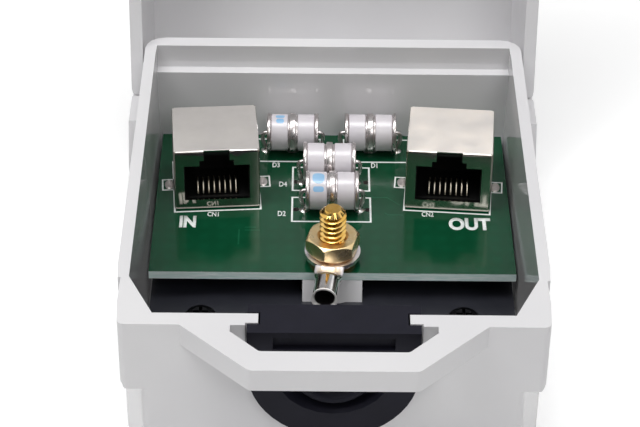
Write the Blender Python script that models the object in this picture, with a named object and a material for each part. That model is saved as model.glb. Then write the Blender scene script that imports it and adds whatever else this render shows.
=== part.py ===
# Ethernet surge protector: a moulded box lying on its back with its hinged lid open.
# Inside are a circuit board with two shielded modular jacks, four three-electrode gas
# tubes and a ground terminal. Cables enter through a black grommet in the near wall.
# The frame's origin is the middle of the back face. X is to the right, Y runs from the
# cable entry to the hinge and Z is up. All sizes are in metres. The pieces are modelled
# with Y counted from the near wall's outer face, and main() moves them to the origin.

import math

import bmesh
import bpy
from mathutils import Matrix, Vector

MM = 0.001

# Clearances
SEAT_GAP = 0.3 * MM           # between pieces that rest on or in each other
SLIDE_GAP = 0.35 * MM         # between the lid and what it passes
BRAZE_GAP = 0.12 * MM         # between the parts of a gas tube
THREAD_GAP = 0.15 * MM        # between a thread and its nut

# Housing
BOX_WIDTH = 72.2 * MM         # over the collar
BOX_LENGTH = 87.2 * MM
BOX_HEIGHT = 30.0 * MM        # back face to rim
FLOOR = 2.4 * MM
SIDE_WALL = 2.1 * MM          # at the rim
NEAR_WALL = 3.0 * MM
FAR_WALL = 2.9 * MM
DRAFT = math.radians(1.0)
COLLAR_HEIGHT = 13.8 * MM
COLLAR_STEP = 1.0 * MM        # how far the collar stands out from the body below it
COLLAR_TOE_IN = 1.0 * MM      # each side of the collar comes in this much at the near face
COLLAR_TOE_LENGTH = 16.0 * MM
COLLAR_NEAR_RADIUS = 1.2 * MM   # more than EDGE_ROUND, which runs round it
NEAR_CORNER_RADIUS = 1.5 * MM
FAR_CORNER_RADIUS = 3.8 * MM
INNER_CHAMFER_X = 4.4 * MM
INNER_CHAMFER_Y = 9.5 * MM
OUTER_CHAMFER_X = 3.7 * MM
OUTER_CHAMFER_Y = 8.0 * MM
EDGE_ROUND = 1.0 * MM
LEDGE_DROP = 4.8 * MM         # from the rim to the ledge on the far wall
LEDGE_WIDTH = 2.0 * MM

# Guard loop in front of the cable slot
LOOP_REACH = 11.2 * MM
LOOP_BAR = 4.75 * MM          # depth of the bar seen from above
LOOP_THICKNESS = 4.2 * MM
LOOP_ROOT_FROM_SIDE = 11.1 * MM
LOOP_TIP_HALF = 13.5 * MM
LOOP_INNER_ROOT_HALF = 16.8 * MM
LOOP_INNER_TIP_HALF = 12.0 * MM
LOOP_INNER_STEP = 1.6 * MM
LOOP_TIP_ROUND = 1.5 * MM
LOOP_INNER_ROUND = 0.8 * MM

# Cable entry
ENTRY_DROP = 8.3 * MM         # rim to the centre of the round end
SLOT_RADIUS = 12.3 * MM
FLANGE_RADIUS = 14.1 * MM
OUTER_FLANGE = 2.2 * MM
FLANGE_REBATE = 0.6 * MM      # how far the outer flange sits in the near face
INNER_FLANGE = 2.1 * MM
CABLE_HOLE_RADIUS = 5.1 * MM
CABLE_HOLE_DROP = 0.8 * MM    # below the centre of the round end
LIP_RADIUS = 6.0 * MM         # middle of the rounded lip round the hole
LIP_THICKNESS = 1.6 * MM
LIP_SINK = 1.4 * MM           # middle of the lip's rounding behind the outer face
DISH_RADIUS = 10.0 * MM
DISH_RISE = 1.1 * MM          # its centre above the centre of the round end
DISH_DEPTH = 2.4 * MM
DISH_CUT_OFF = 2.1 * MM       # the dish stops in a straight edge this far above its centre
FACE_RECESS_HALF = 9.9 * MM
FACE_RECESS_DEPTH = 0.9 * MM
FACE_RECESS_DROP = 1.1 * MM
FACE_RECESS_HEIGHT = 2.4 * MM

# Hinge and lid
HINGE_FROM_END = 3.2 * MM     # axis to the housing's far face
HINGE_UNDER_RIM = 6.5 * MM
OPEN_ANGLE = math.radians(100.0)
PIN_RADIUS = 1.8 * MM
PIN_GAP = 0.3 * MM
PIN_REACH = 1.4 * MM          # how far a pin goes into the housing's wall
LID_SKIRT = 2.35 * MM
LID_TOP = 2.4 * MM
LID_DEPTH = 23.0 * MM         # skirt edge to the inside of the panel
LID_DRAFT = math.radians(1.4)
LID_SIDE_GAP = 0.45 * MM      # skirt to collar, at the skirt's edge
LID_FRONT_GAP = 0.5 * MM
LID_END_RADIUS = 4.0 * MM     # from the hinge axis to the lid's far end
LID_EDGE_BELOW_AXIS = 2.43 * MM
LID_NEAR_RADIUS = 4.0 * MM
LID_FAR_RADIUS = 2.0 * MM
LID_INNER_FAR_RADIUS = 0.2 * MM
LID_TOP_ROUND = 2.2 * MM
LID_CUTOUT_MARGIN = 0.6 * MM  # loop cut-out to loop
LID_FAR_LIFT = 0.9 * MM       # far wall to rim, so that its edge swings clear
EAR_LENGTH = 11.7 * MM        # near end of its top to the hinge axis
EAR_TOP_GAP = 0.45 * MM
EAR_RAMP_RUN = 3.8 * MM
EAR_RAMP_DROP = 7.6 * MM
EAR_HEIGHT = 11.0 * MM
EAR_FAR_SETBACK = 1.0 * MM
NOTCH_Y = 6.0 * MM
NOTCH_LENGTH = 6.2 * MM
NOTCH_DEPTH = 0.5 * MM
NOTCH_DROP = 8.0 * MM
SNAP_SPAN = 2.0 * MM
SNAP_LIFT = 1.6 * MM

# Circuit board
BOARD_TOP = 11.4 * MM         # the board's top face above the back face
BOARD_LENGTH = 43.8 * MM
BOARD_THICKNESS = 1.6 * MM
BOARD_SIDE_GAP = 0.5 * MM
BOARD_END_GAP = 0.6 * MM
HOLE_GAP = 0.25 * MM
TAIL = 1.4 * MM               # what a soldered lead shows under the board

# Modular jacks
JACK_WIDTH = 16.0 * MM
JACK_LENGTH = 15.2 * MM
JACK_HEIGHT = 13.1 * MM
JACK_FROM_SIDE = 11.7 * MM    # board's side edge to the middle of the jack's mouth
JACK_FROM_NEAR_EDGE = 19.2 * MM
JACK_TOE = math.radians(4.4)
SHEET = 0.3 * MM
SHIELD_ROUND = 0.45 * MM
MOUTH_HALF = 6.1 * MM
MOUTH_SILL = 2.2 * MM
MOUTH_HEIGHT = 7.65 * MM
MOUTH_DEPTH = 11.5 * MM
STEP_HALF = 3.2 * MM
STEP_HEIGHT = 1.15 * MM
LATCH_HALF = 2.4 * MM
MOUTH_LINER = 0.15 * MM       # the insulator's mouth is this much smaller than the shield's
LEG_FROM_FRONT = 7.4 * MM
LEG_WIDTH = 2.0 * MM
CONTACTS = 8
CONTACT_PITCH = 1.016 * MM
CONTACT_WIDTH = 0.45 * MM
CONTACT_THICKNESS = 0.3 * MM
TRENCH_DEPTH = 1.2 * MM
TRENCH_FRONT = 1.2 * MM
CONTACT_BEND = 0.55 * MM
CONTACT_TURN = math.radians(153)
CONTACT_RISE = 3.4 * MM
CONTACT_REACH = 7.0 * MM

# Gas tubes: middle along X, distance from the board's near edge, and the reach of the
# left and right leads from the middle
TUBE_RADIUS = 4.0 * MM
TUBE_LIFT = 0.5 * MM
CERAMIC_RADIUS = 3.88 * MM
CERAMIC_LENGTH = 3.15 * MM
CERAMIC_BORE = 2.6 * MM
CENTRE_LENGTH = 1.7 * MM
GROOVE_DEPTH = 0.35 * MM
CAP_LENGTH = 0.75 * MM
LEAD_RADIUS = 0.4 * MM
LEAD_BEND = 0.9 * MM
TUBES = (
    ("d1", 7.5 * MM, 38.7 * MM, 5.8 * MM, 9.0 * MM),
    ("d2", 0.1 * MM, 19.2 * MM, 6.9 * MM, 6.6 * MM),
    ("d3", -7.9 * MM, 38.7 * MM, 8.7 * MM, 5.8 * MM),
    ("d4", -1.0 * MM, 28.0 * MM, 6.0 * MM, 7.5 * MM),
)

# Ground terminal
STUD_FROM_NEAR_EDGE = 3.85 * MM
STUD_RADIUS = 2.4 * MM
STUD_TOP = 11.6 * MM          # above the board
STUD_CHAMFER = 0.9 * MM
STUD_HEAD_RADIUS = 3.0 * MM
STUD_HEAD = 1.6 * MM
STUD_BOSS_RADIUS = 5.6 * MM
STUD_BOSS_WALL = 0.55 * MM    # of its flat front, from the room for the stud's head
LUG_RADIUS = 5.05 * MM
LUG_SHEET = 0.8 * MM
LUG_TURN = math.radians(-6.5)
LUG_NECK_WIDTH = 5.4 * MM
LUG_NECK_Y = 4.0 * MM
BARREL_Y = 8.2 * MM
BARREL_LENGTH = 5.0 * MM
BARREL_RADIUS = 2.4 * MM
BARREL_WALL = 0.4 * MM
BARREL_AXIS = 1.2 * MM        # above the board
WASHER_RADIUS = 4.7 * MM
WASHER_THICKNESS = 0.8 * MM
NUT_FLATS = 8.73 * MM
NUT_HEIGHT = 3.2 * MM
NUT_TURN = math.radians(13.0)

# Inner plate and its screws
PLATE_LIFT = 2.0 * MM         # height of the bosses that carry it
PLATE_THICKNESS = 1.2 * MM
PLATE_WALL_GAP = 0.6 * MM
PLATE_NEAR_GAP = 3.0 * MM
PLATE_SCREW_FROM_WALL = 10.4 * MM
PLATE_SCREW_FROM_BOARD = 6.4 * MM
PLATE_BOSS_RADIUS = 3.0 * MM
SCREW_HEAD_RADIUS = 2.8 * MM
SCREW_HEAD = 1.2 * MM
SCREW_RADIUS = 1.2 * MM
SCREW_BITE = 2.4 * MM
FAR_POST_RADIUS = 3.0 * MM
FAR_POST_FROM_WALL = 7.0 * MM
FAR_POST_INSET = 5.0 * MM     # from the board's far edge

ROUND_STEPS = 24              # faces round a large circle
SMALL_STEPS = 12
ARC_STEPS = 4                 # faces in a short arc
MERGE = 0.0002 * MM           # points closer than this are one point
LEVEL = 0.001 * MM            # points this close in height are level

# Levels and places that follow from the sizes above
HINGE_Y = BOX_LENGTH - HINGE_FROM_END
HINGE_Z = BOX_HEIGHT - HINGE_UNDER_RIM
BOARD_BOTTOM = BOARD_TOP - BOARD_THICKNESS
ENTRY_Z = BOX_HEIGHT - ENTRY_DROP
LEDGE_Z = BOX_HEIGHT - LEDGE_DROP
RIM_HALF = BOX_WIDTH / 2 - SIDE_WALL
LOOP_ROOT_HALF = BOX_WIDTH / 2 - LOOP_ROOT_FROM_SIDE
PLATE_Z = FLOOR + PLATE_LIFT + SEAT_GAP


def inset_at(z):
    """How far the drafted inner walls have come in at a height."""
    return (BOX_HEIGHT - z) * math.tan(DRAFT)


BOARD_FAR_Y = BOX_LENGTH - FAR_WALL - LEDGE_WIDTH - inset_at(BOARD_BOTTOM) - BOARD_END_GAP
BOARD_NEAR_Y = BOARD_FAR_Y - BOARD_LENGTH
BOARD_HALF = RIM_HALF - inset_at(BOARD_BOTTOM) - BOARD_SIDE_GAP
STUD_Y = BOARD_NEAR_Y + STUD_FROM_NEAR_EDGE
JACK_X = BOARD_HALF - JACK_FROM_SIDE
JACK_Y = BOARD_NEAR_Y + JACK_FROM_NEAR_EDGE
LUG_Z = BOARD_TOP + SEAT_GAP
WASHER_Z = LUG_Z + LUG_SHEET + SEAT_GAP
NUT_Z = WASHER_Z + WASHER_THICKNESS + SEAT_GAP
FAR_POST_X = RIM_HALF - FAR_POST_FROM_WALL
FAR_POST_Y = BOARD_FAR_Y - FAR_POST_INSET
PLATE_SCREW_X = RIM_HALF - PLATE_SCREW_FROM_WALL
PLATE_SCREW_Y = BOARD_NEAR_Y - PLATE_SCREW_FROM_BOARD


def clear_scene():
    for obj in list(bpy.data.objects):
        bpy.data.objects.remove(obj, do_unlink=True)


def material(name, colour, roughness, metallic=0.0):
    mat = bpy.data.materials.new(name)
    mat.use_nodes = True
    shader = mat.node_tree.nodes["Principled BSDF"]
    shader.inputs["Base Color"].default_value = (*colour, 1.0)
    shader.inputs["Roughness"].default_value = roughness
    shader.inputs["Metallic"].default_value = metallic
    return mat


def add_object(name, bm, mat=None):
    """A bmesh becomes a named object with its faces pointing out."""
    bmesh.ops.remove_doubles(bm, verts=bm.verts, dist=1e-7)
    bmesh.ops.recalc_face_normals(bm, faces=bm.faces)
    mesh = bpy.data.meshes.new(name)
    bm.to_mesh(mesh)
    bm.free()
    if mat:
        mesh.materials.append(mat)
    obj = bpy.data.objects.new(name, mesh)
    bpy.context.scene.collection.objects.link(obj)
    return obj


def shade_round(obj, angle=35.0):
    obj.data.shade_smooth()
    obj.data.set_sharp_from_angle(angle=math.radians(angle))


def settle(obj):
    """Turns an object's modifiers into its mesh."""
    bpy.context.view_layer.update()
    graph = bpy.context.evaluated_depsgraph_get()
    mesh = bpy.data.meshes.new_from_object(obj.evaluated_get(graph))
    bm = bmesh.new()
    bm.from_mesh(mesh)
    bmesh.ops.remove_doubles(bm, verts=bm.verts, dist=MERGE)
    bmesh.ops.dissolve_degenerate(bm, edges=bm.edges, dist=MERGE)
    bm.to_mesh(mesh)
    bm.free()
    obj.modifiers.clear()
    obj.data = mesh
    return obj


def combine(target, tool, operation):
    """Joins a tool to an object, or cuts the tool out of it, and drops the tool."""
    boolean = target.modifiers.new(operation.title(), "BOOLEAN")
    boolean.operation = operation
    boolean.solver = "EXACT"
    boolean.object = tool
    settle(target)
    bpy.data.objects.remove(tool, do_unlink=True)
    return target


def cut(target, *tools):
    for tool in tools:
        combine(target, tool, "DIFFERENCE")
    return target


def join(target, *tools):
    for tool in tools:
        combine(target, tool, "UNION")
    return target


def rounded(points, radii, steps=3):
    """A 2D outline whose corners are replaced by arcs of the given radii."""
    result = []
    count = len(points)
    for i, radius in enumerate(radii):
        corner = Vector(points[i])
        if radius <= 0:
            result.append(corner)
            continue
        before = (Vector(points[i - 1]) - corner).normalized()
        after = (Vector(points[(i + 1) % count]) - corner).normalized()
        half = before.angle(after) / 2
        centre = corner + (before + after).normalized() * (radius / math.sin(half))
        first = corner + before * (radius / math.tan(half)) - centre
        last = corner + after * (radius / math.tan(half)) - centre
        sweep = first.angle_signed(last)
        for step in range(steps + 1):
            result.append(centre + Matrix.Rotation(-sweep * step / steps, 2) @ first)
    return result


def loft(name, low, z_low, high, z_high, mat=None):
    """A closed solid between two outlines with the same number of points."""
    bm = bmesh.new()
    bottom = [bm.verts.new((p[0], p[1], z_low)) for p in low]
    top = [bm.verts.new((p[0], p[1], z_high)) for p in high]
    bm.faces.new(bottom)
    bm.faces.new(top)
    count = len(bottom)
    for i in range(count):
        j = (i + 1) % count
        bm.faces.new((bottom[i], bottom[j], top[j], top[i]))
    return add_object(name, bm, mat)


def prism(name, outline, z_low, z_high, mat=None):
    return loft(name, outline, z_low, outline, z_high, mat)


def prism_along_x(name, outline_yz, x_low, x_high, mat=None):
    """Extrudes a (Y, Z) outline along X."""
    obj = prism(name, outline_yz, x_low, x_high, mat)
    obj.data.transform(Matrix(((0, 0, 1, 0), (1, 0, 0, 0), (0, 1, 0, 0), (0, 0, 0, 1))))
    return obj


def prism_along_y(name, outline_xz, y_low, y_high, mat=None):
    """Extrudes an (X, Z) outline along Y."""
    obj = prism(name, outline_xz, -y_high, -y_low, mat)
    obj.data.transform(Matrix(((1, 0, 0, 0), (0, 0, -1, 0), (0, 1, 0, 0), (0, 0, 0, 1))))
    return obj


def block(name, x, y, z, mat=None):
    """A box between pairs of limits."""
    outline = ((x[0], y[0]), (x[1], y[0]), (x[1], y[1]), (x[0], y[1]))
    return prism(name, outline, z[0], z[1], mat)


def turned(name, profile, steps, mat=None):
    """Spins a closed (radius, height) profile round Z."""
    bm = bmesh.new()
    verts = [bm.verts.new((r, 0, z)) for r, z in profile]
    edges = [bm.edges.new((verts[i - 1], verts[i])) for i in range(1, len(verts))]
    if profile[0][0] > 0:
        edges.append(bm.edges.new((verts[-1], verts[0])))
    bmesh.ops.spin(bm, geom=verts + edges, cent=(0, 0, 0), axis=(0, 0, 1), dvec=(0, 0, 0),
                   angle=math.tau, steps=steps, use_merge=True)
    bmesh.ops.remove_doubles(bm, verts=bm.verts, dist=1e-7)
    return add_object(name, bm, mat)


def turned_along_x(name, profile, steps, mat=None):
    obj = turned(name, profile, steps, mat)
    obj.data.transform(Matrix.Rotation(math.radians(90), 4, "Y"))
    return obj


def turned_along_y(name, profile, steps, mat=None):
    """Spins a profile whose heights run along +Y."""
    obj = turned(name, profile, steps, mat)
    obj.data.transform(Matrix.Rotation(math.radians(-90), 4, "X"))
    return obj


def rod(name, radius, z_low, z_high, steps=SMALL_STEPS):
    return turned(name, ((0, z_low), (radius, z_low), (radius, z_high), (0, z_high)), steps)


def wire(name, points, radius):
    """A round wire along points, with closed ends."""
    curve = bpy.data.curves.new(name, "CURVE")
    curve.dimensions = "3D"
    curve.bevel_depth = radius
    curve.bevel_resolution = 1
    curve.use_fill_caps = True
    spline = curve.splines.new("POLY")
    spline.points.add(len(points) - 1)
    for point, place in zip(spline.points, points):
        point.co = (*place, 1.0)
    obj = bpy.data.objects.new(name, curve)
    bpy.context.scene.collection.objects.link(obj)
    bpy.context.view_layer.update()
    graph = bpy.context.evaluated_depsgraph_get()
    mesh = bpy.data.meshes.new_from_object(obj.evaluated_get(graph))
    bpy.data.objects.remove(obj, do_unlink=True)
    bm = bmesh.new()
    bm.from_mesh(mesh)
    return add_object(name, bm)


def moved(obj, x=0.0, y=0.0, z=0.0):
    obj.data.transform(Matrix.Translation((x, y, z)))
    return obj


def bend(start, corner, end, radius, steps=4):
    """Points of an arc that rounds a corner of a wire's route."""
    start, corner, end = Vector(start), Vector(corner), Vector(end)
    before = (start - corner).normalized()
    after = (end - corner).normalized()
    half = before.angle(after) / 2
    centre = corner + (before + after).normalized() * (radius / math.sin(half))
    first = corner + before * (radius / math.tan(half)) - centre
    turn = math.pi - 2 * half
    axis = after.cross(before)
    return [centre + Matrix.Rotation(turn * i / steps, 3, axis) @ first for i in range(steps + 1)]


# Housing

def collar_half(y):
    """Half the collar's width, counted from the near face: its sides toe in there."""
    return BOX_WIDTH / 2 - COLLAR_TOE_IN * max(0.0, 1 - y / COLLAR_TOE_LENGTH)


def collar_outline():
    near = collar_half(0)
    half = collar_half(COLLAR_TOE_LENGTH)
    points = ((-near, 0), (near, 0), (half, COLLAR_TOE_LENGTH), (half, BOX_LENGTH),
              (-half, BOX_LENGTH), (-half, COLLAR_TOE_LENGTH))
    radii = (COLLAR_NEAR_RADIUS, COLLAR_NEAR_RADIUS, 0, FAR_CORNER_RADIUS, FAR_CORNER_RADIUS, 0)
    return rounded(points, radii, ARC_STEPS)


def body_outline():
    half = BOX_WIDTH / 2 - COLLAR_STEP
    far = BOX_LENGTH - COLLAR_STEP
    points = ((-half, OUTER_CHAMFER_Y), (-half + OUTER_CHAMFER_X, 0), (half - OUTER_CHAMFER_X, 0),
              (half, OUTER_CHAMFER_Y), (half, far), (-half, far))
    radius = NEAR_CORNER_RADIUS
    far_radius = FAR_CORNER_RADIUS - COLLAR_STEP
    return rounded(points, (radius, radius, radius, radius, far_radius, far_radius), 3)


def cavity_outline(inset, near, far):
    """The box's inside at one height. The near wall has no draft, so the entry's groove fits."""
    half = RIM_HALF - inset
    return ((-half, near + INNER_CHAMFER_Y), (-half + INNER_CHAMFER_X, near),
            (half - INNER_CHAMFER_X, near), (half, near + INNER_CHAMFER_Y), (half, far), (-half, far))


def loop_outline():
    """One C-shaped bar that grows out of the near wall."""
    root = NEAR_WALL / 2
    spread = (LOOP_ROOT_HALF - LOOP_TIP_HALF) / LOOP_REACH
    right = [(LOOP_TIP_HALF, -LOOP_REACH), (LOOP_ROOT_HALF + spread * root, root),
             (LOOP_INNER_ROOT_HALF, root), (LOOP_INNER_ROOT_HALF, -LOOP_INNER_STEP),
             (LOOP_INNER_TIP_HALF, LOOP_BAR - LOOP_REACH)]
    left = [(-x, y) for x, y in reversed(right)]
    radii = [LOOP_TIP_ROUND, 0, 0, 0, LOOP_INNER_ROUND]
    return rounded(right + left, radii + radii[::-1], 2)


def u_outline(radius, top, steps=ROUND_STEPS):
    """The (X, Z) outline of a slot with a round lower end."""
    arc = [(-radius * math.cos(math.pi * i / steps), ENTRY_Z - radius * math.sin(math.pi * i / steps))
           for i in range(steps + 1)]
    return arc + [(radius, top), (-radius, top)]


def ear_outline():
    """The (Y, Z) side view of a hinge ear, with a saddle and a stop for the lid's end."""
    top = HINGE_Z - LID_EDGE_BELOW_AXIS - EAR_TOP_GAP
    radius = LID_END_RADIUS + SLIDE_GAP
    lean = OPEN_ANGLE - math.pi / 2
    start = math.asin((HINGE_Z - top) / radius)
    arc = []
    for i in range(ARC_STEPS + 1):
        turn = start + (math.pi / 2 - lean - start) * i / ARC_STEPS
        arc.append((HINGE_Y - radius * math.cos(turn), HINGE_Z - radius * math.sin(turn)))
    far = BOX_LENGTH - EAR_FAR_SETBACK
    stop_end = (far, arc[-1][1] - (far - arc[-1][0]) * math.tan(lean))
    bottom = top - EAR_HEIGHT
    near = HINGE_Y - EAR_LENGTH
    ramp = near - EAR_RAMP_RUN
    return [(ramp, bottom), (ramp, top - EAR_RAMP_DROP), (near, top), *arc,
            stop_end, (far, bottom)]


def round_underside(obj, start):
    """Rounds a prism's lower edges beyond a distance: the collar's near face is flush with the body."""
    bm = bmesh.new()
    bm.from_mesh(obj.data)
    low = min(v.co.z for v in bm.verts)
    edges = [e for e in bm.edges
             if all(v.co.z - low < LEVEL for v in e.verts) and any(v.co.y > start for v in e.verts)]
    bmesh.ops.bevel(bm, geom=edges, offset=EDGE_ROUND, segments=2, profile=0.5, affect="EDGES")
    bm.to_mesh(obj.data)
    bm.free()


def make_housing(mat):
    housing = prism("housing", body_outline(), 0, BOX_HEIGHT - COLLAR_HEIGHT / 2, mat)
    collar = prism("collar", collar_outline(), BOX_HEIGHT - COLLAR_HEIGHT, BOX_HEIGHT)
    round_underside(housing, -COLLAR_STEP)
    round_underside(collar, COLLAR_NEAR_RADIUS / 2)
    loop = prism("loop", loop_outline(), BOX_HEIGHT - LOOP_THICKNESS, BOX_HEIGHT)
    join(collar, loop)
    join(housing, collar)

    ear_root = BOX_WIDTH / 2 - COLLAR_STEP - SIDE_WALL / 2
    ear_tip = BOX_WIDTH / 2 + LID_SIDE_GAP + LID_SKIRT
    join(housing, prism_along_x("ear_right", ear_outline(), ear_root, ear_tip),
         prism_along_x("ear_left", ear_outline(), -ear_tip, -ear_root))

    upper_far = BOX_LENGTH - FAR_WALL
    lower_far = upper_far - LEDGE_WIDTH
    above = BOX_HEIGHT + FLOOR
    cut(housing,
        loft("lower_cavity", cavity_outline(inset_at(FLOOR), NEAR_WALL, lower_far - inset_at(FLOOR)), FLOOR,
             cavity_outline(inset_at(above), NEAR_WALL, lower_far - inset_at(above)), above),
        block("ledge_room", (-RIM_HALF + inset_at(LEDGE_Z), RIM_HALF - inset_at(LEDGE_Z)),
              (lower_far - LEDGE_WIDTH, upper_far), (LEDGE_Z, above)))

    cut(housing, prism_along_y("slot", u_outline(SLOT_RADIUS, above), -OUTER_FLANGE, NEAR_WALL * 2),
        prism_along_y("rebate", u_outline(FLANGE_RADIUS + SEAT_GAP, above), -OUTER_FLANGE, FLANGE_REBATE))
    add_bosses(housing)
    for side in (-1, 1):
        cut(housing, notch_cutter(side), pin_hole_cutter(side))
    shade_round(housing)
    return housing


def add_bosses(housing):
    """Bosses and posts on the floor, with the holes in them."""
    root = FLOOR / 2
    seat = BOARD_BOTTOM - SEAT_GAP
    pocket_radius = STUD_HEAD_RADIUS + SEAT_GAP
    flat = pocket_radius + STUD_BOSS_WALL
    boss = rod("stud_boss", STUD_BOSS_RADIUS, root, seat, ROUND_STEPS)
    cut(boss, block("front", (-2 * STUD_BOSS_RADIUS, 2 * STUD_BOSS_RADIUS), (-2 * STUD_BOSS_RADIUS, -flat),
                    (0, BOARD_TOP)))
    join(housing, moved(boss, y=STUD_Y))
    pocket_floor = seat - STUD_HEAD - SEAT_GAP
    cut(housing, moved(rod("stud_pocket", pocket_radius, pocket_floor, BOARD_TOP, ROUND_STEPS), y=STUD_Y))
    for side in (-1, 1):
        join(housing,
             moved(rod("far_post", FAR_POST_RADIUS, root, seat), side * FAR_POST_X, FAR_POST_Y),
             moved(rod("plate_boss", PLATE_BOSS_RADIUS, root, FLOOR + PLATE_LIFT),
                   side * PLATE_SCREW_X, PLATE_SCREW_Y))
        cut(housing, moved(rod("screw_hole", SCREW_RADIUS + SEAT_GAP,
                               FLOOR + PLATE_LIFT - SCREW_BITE - SEAT_GAP, BOARD_TOP),
                           side * PLATE_SCREW_X, PLATE_SCREW_Y))


def notch_floor():
    """The notch's deepest point, from the middle of the box."""
    return collar_half(NOTCH_Y + NOTCH_LENGTH) - NOTCH_DEPTH


def notch_cutter(side):
    """A wedge pocket in the collar's side for the lid's snap."""
    end = NOTCH_Y + NOTCH_LENGTH
    outside = BOX_WIDTH / 2 + NOTCH_DEPTH
    outline = ((outside, NOTCH_Y - NOTCH_DEPTH), (outside, end), (notch_floor(), end),
               (collar_half(NOTCH_Y), NOTCH_Y))
    return prism("notch", [(side * x, y) for x, y in outline], BOX_HEIGHT - NOTCH_DROP, BOX_HEIGHT + FLOOR)


def pin_hole_cutter(side):
    face = BOX_WIDTH / 2
    depth = PIN_REACH + SEAT_GAP
    profile = ((0, face - depth), (PIN_RADIUS + PIN_GAP, face - depth),
               (PIN_RADIUS + PIN_GAP, face + SIDE_WALL), (0, face + SIDE_WALL))
    hole = turned_along_x("pin_hole", profile, SMALL_STEPS)
    hole.data.transform(Matrix.Scale(side, 4, (1, 0, 0)))
    if side < 0:
        hole.data.flip_normals()
    return moved(hole, y=HINGE_Y, z=HINGE_Z)


# Lid: modelled shut, relative to the hinge axis

def lid_outline(half, near, far, near_radius, far_radius):
    points = ((-half, near), (half, near), (half, far), (-half, far))
    return rounded(points, (near_radius, near_radius, far_radius, far_radius), 4)


def make_lid(mat):
    edge_z = -LID_EDGE_BELOW_AXIS
    ceiling = edge_z + LID_DEPTH
    top = ceiling + LID_TOP
    inner_half = BOX_WIDTH / 2 + LID_SIDE_GAP
    outer_half = inner_half + LID_SKIRT
    near_in = -HINGE_Y - LID_FRONT_GAP
    near_out = near_in - LID_SKIRT
    far_out = LID_END_RADIUS
    far_in = far_out - LID_SKIRT
    lean = LID_DEPTH * math.tan(LID_DRAFT)

    lid = loft("lid",
               lid_outline(outer_half, near_out, far_out, LID_NEAR_RADIUS, LID_FAR_RADIUS), edge_z,
               lid_outline(outer_half - lean, near_out + lean, far_out, LID_NEAR_RADIUS, LID_FAR_RADIUS), top,
               mat)
    bm = bmesh.new()
    bm.from_mesh(lid.data)
    edges = [e for e in bm.edges if all(top - v.co.z < LEVEL for v in e.verts)]
    bmesh.ops.bevel(bm, geom=edges, offset=LID_TOP_ROUND, segments=3, profile=0.5, affect="EDGES")
    bm.to_mesh(lid.data)
    bm.free()

    inner_radius = LID_NEAR_RADIUS - LID_SKIRT
    below = edge_z - LID_SKIRT
    widen = LID_SKIRT * math.tan(LID_DRAFT)
    cut(lid, loft("lid_room",
                  lid_outline(inner_half + widen, near_in - widen, far_in, inner_radius,
                              LID_INNER_FAR_RADIUS), below,
                  lid_outline(inner_half - lean, near_in + lean, far_in, inner_radius,
                              LID_INNER_FAR_RADIUS), ceiling))

    rim = BOX_HEIGHT - HINGE_Z
    loop_half = LOOP_ROOT_HALF + LID_CUTOUT_MARGIN
    cut(lid, block("loop_cutout", (-loop_half, loop_half), (near_out - LID_SKIRT, near_in + LID_SKIRT),
                   (below, rim + SLIDE_GAP)),
        block("far_cutout", (-inner_half, inner_half), (far_in - LID_SKIRT, far_out + LID_SKIRT),
              (below, rim + LID_FAR_LIFT)),
        lid_end_cutter(outer_half))

    for side in (-1, 1):
        join(lid, hinge_pin(side, inner_half), snap_wedge(side, inner_half))
    shade_round(lid)

    hinge = bpy.data.objects.new("lid_hinge", None)
    hinge.empty_display_size = LID_DEPTH
    bpy.context.scene.collection.objects.link(hinge)
    hinge.location = (0, HINGE_Y, HINGE_Z)
    hinge.rotation_euler = (-OPEN_ANGLE, 0, 0)
    lid.parent = hinge
    return lid


def lid_end_cutter(outer_half):
    """Rounds the skirts' far lower corners about the hinge axis."""
    radius = LID_END_RADIUS
    quarter = math.pi / 2 / (ROUND_STEPS / 4)
    arc = [(radius * math.cos(quarter * i), -radius * math.sin(quarter * i))
           for i in range(ROUND_STEPS // 4 + 1)]
    outside = radius + LID_SKIRT
    outline = [(outside, 0), *arc, (0, -outside), (outside, -outside)]
    reach = outer_half + LID_SKIRT
    return prism_along_x("end_rounding", outline, -reach, reach)


def hinge_pin(side, inner_half):
    root = inner_half + LID_SKIRT / 2
    tip = BOX_WIDTH / 2 - PIN_REACH
    chamfer = PIN_RADIUS / 4
    profile = ((0, tip), (PIN_RADIUS - chamfer, tip), (PIN_RADIUS, tip + chamfer),
               (PIN_RADIUS, root), (0, root))
    pin = turned_along_x("pin", profile, SMALL_STEPS)
    if side < 0:
        pin.data.transform(Matrix.Scale(-1, 4, (1, 0, 0)))
        pin.data.flip_normals()
    return pin


def snap_wedge(side, inner_half):
    """A small wedge inside the skirt that drops into the collar's notch."""
    low = SNAP_LIFT - LID_EDGE_BELOW_AXIS
    root = inner_half + LID_SKIRT / 2
    tip = notch_floor() + SEAT_GAP
    near = NOTCH_Y + NOTCH_LENGTH - 2 * SLIDE_GAP - SNAP_SPAN - HINGE_Y
    outline = ((root, low), (root, low + 2 * SNAP_SPAN), (inner_half, low + 2 * SNAP_SPAN),
               (tip, low + SNAP_SPAN), (tip, low + SNAP_SPAN / 2), (inner_half, low))
    outline = [(side * x, z) for x, z in outline]
    if side < 0:
        outline.reverse()
    return prism_along_y("snap", outline, near, near + SNAP_SPAN)


# Cable entry

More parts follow.
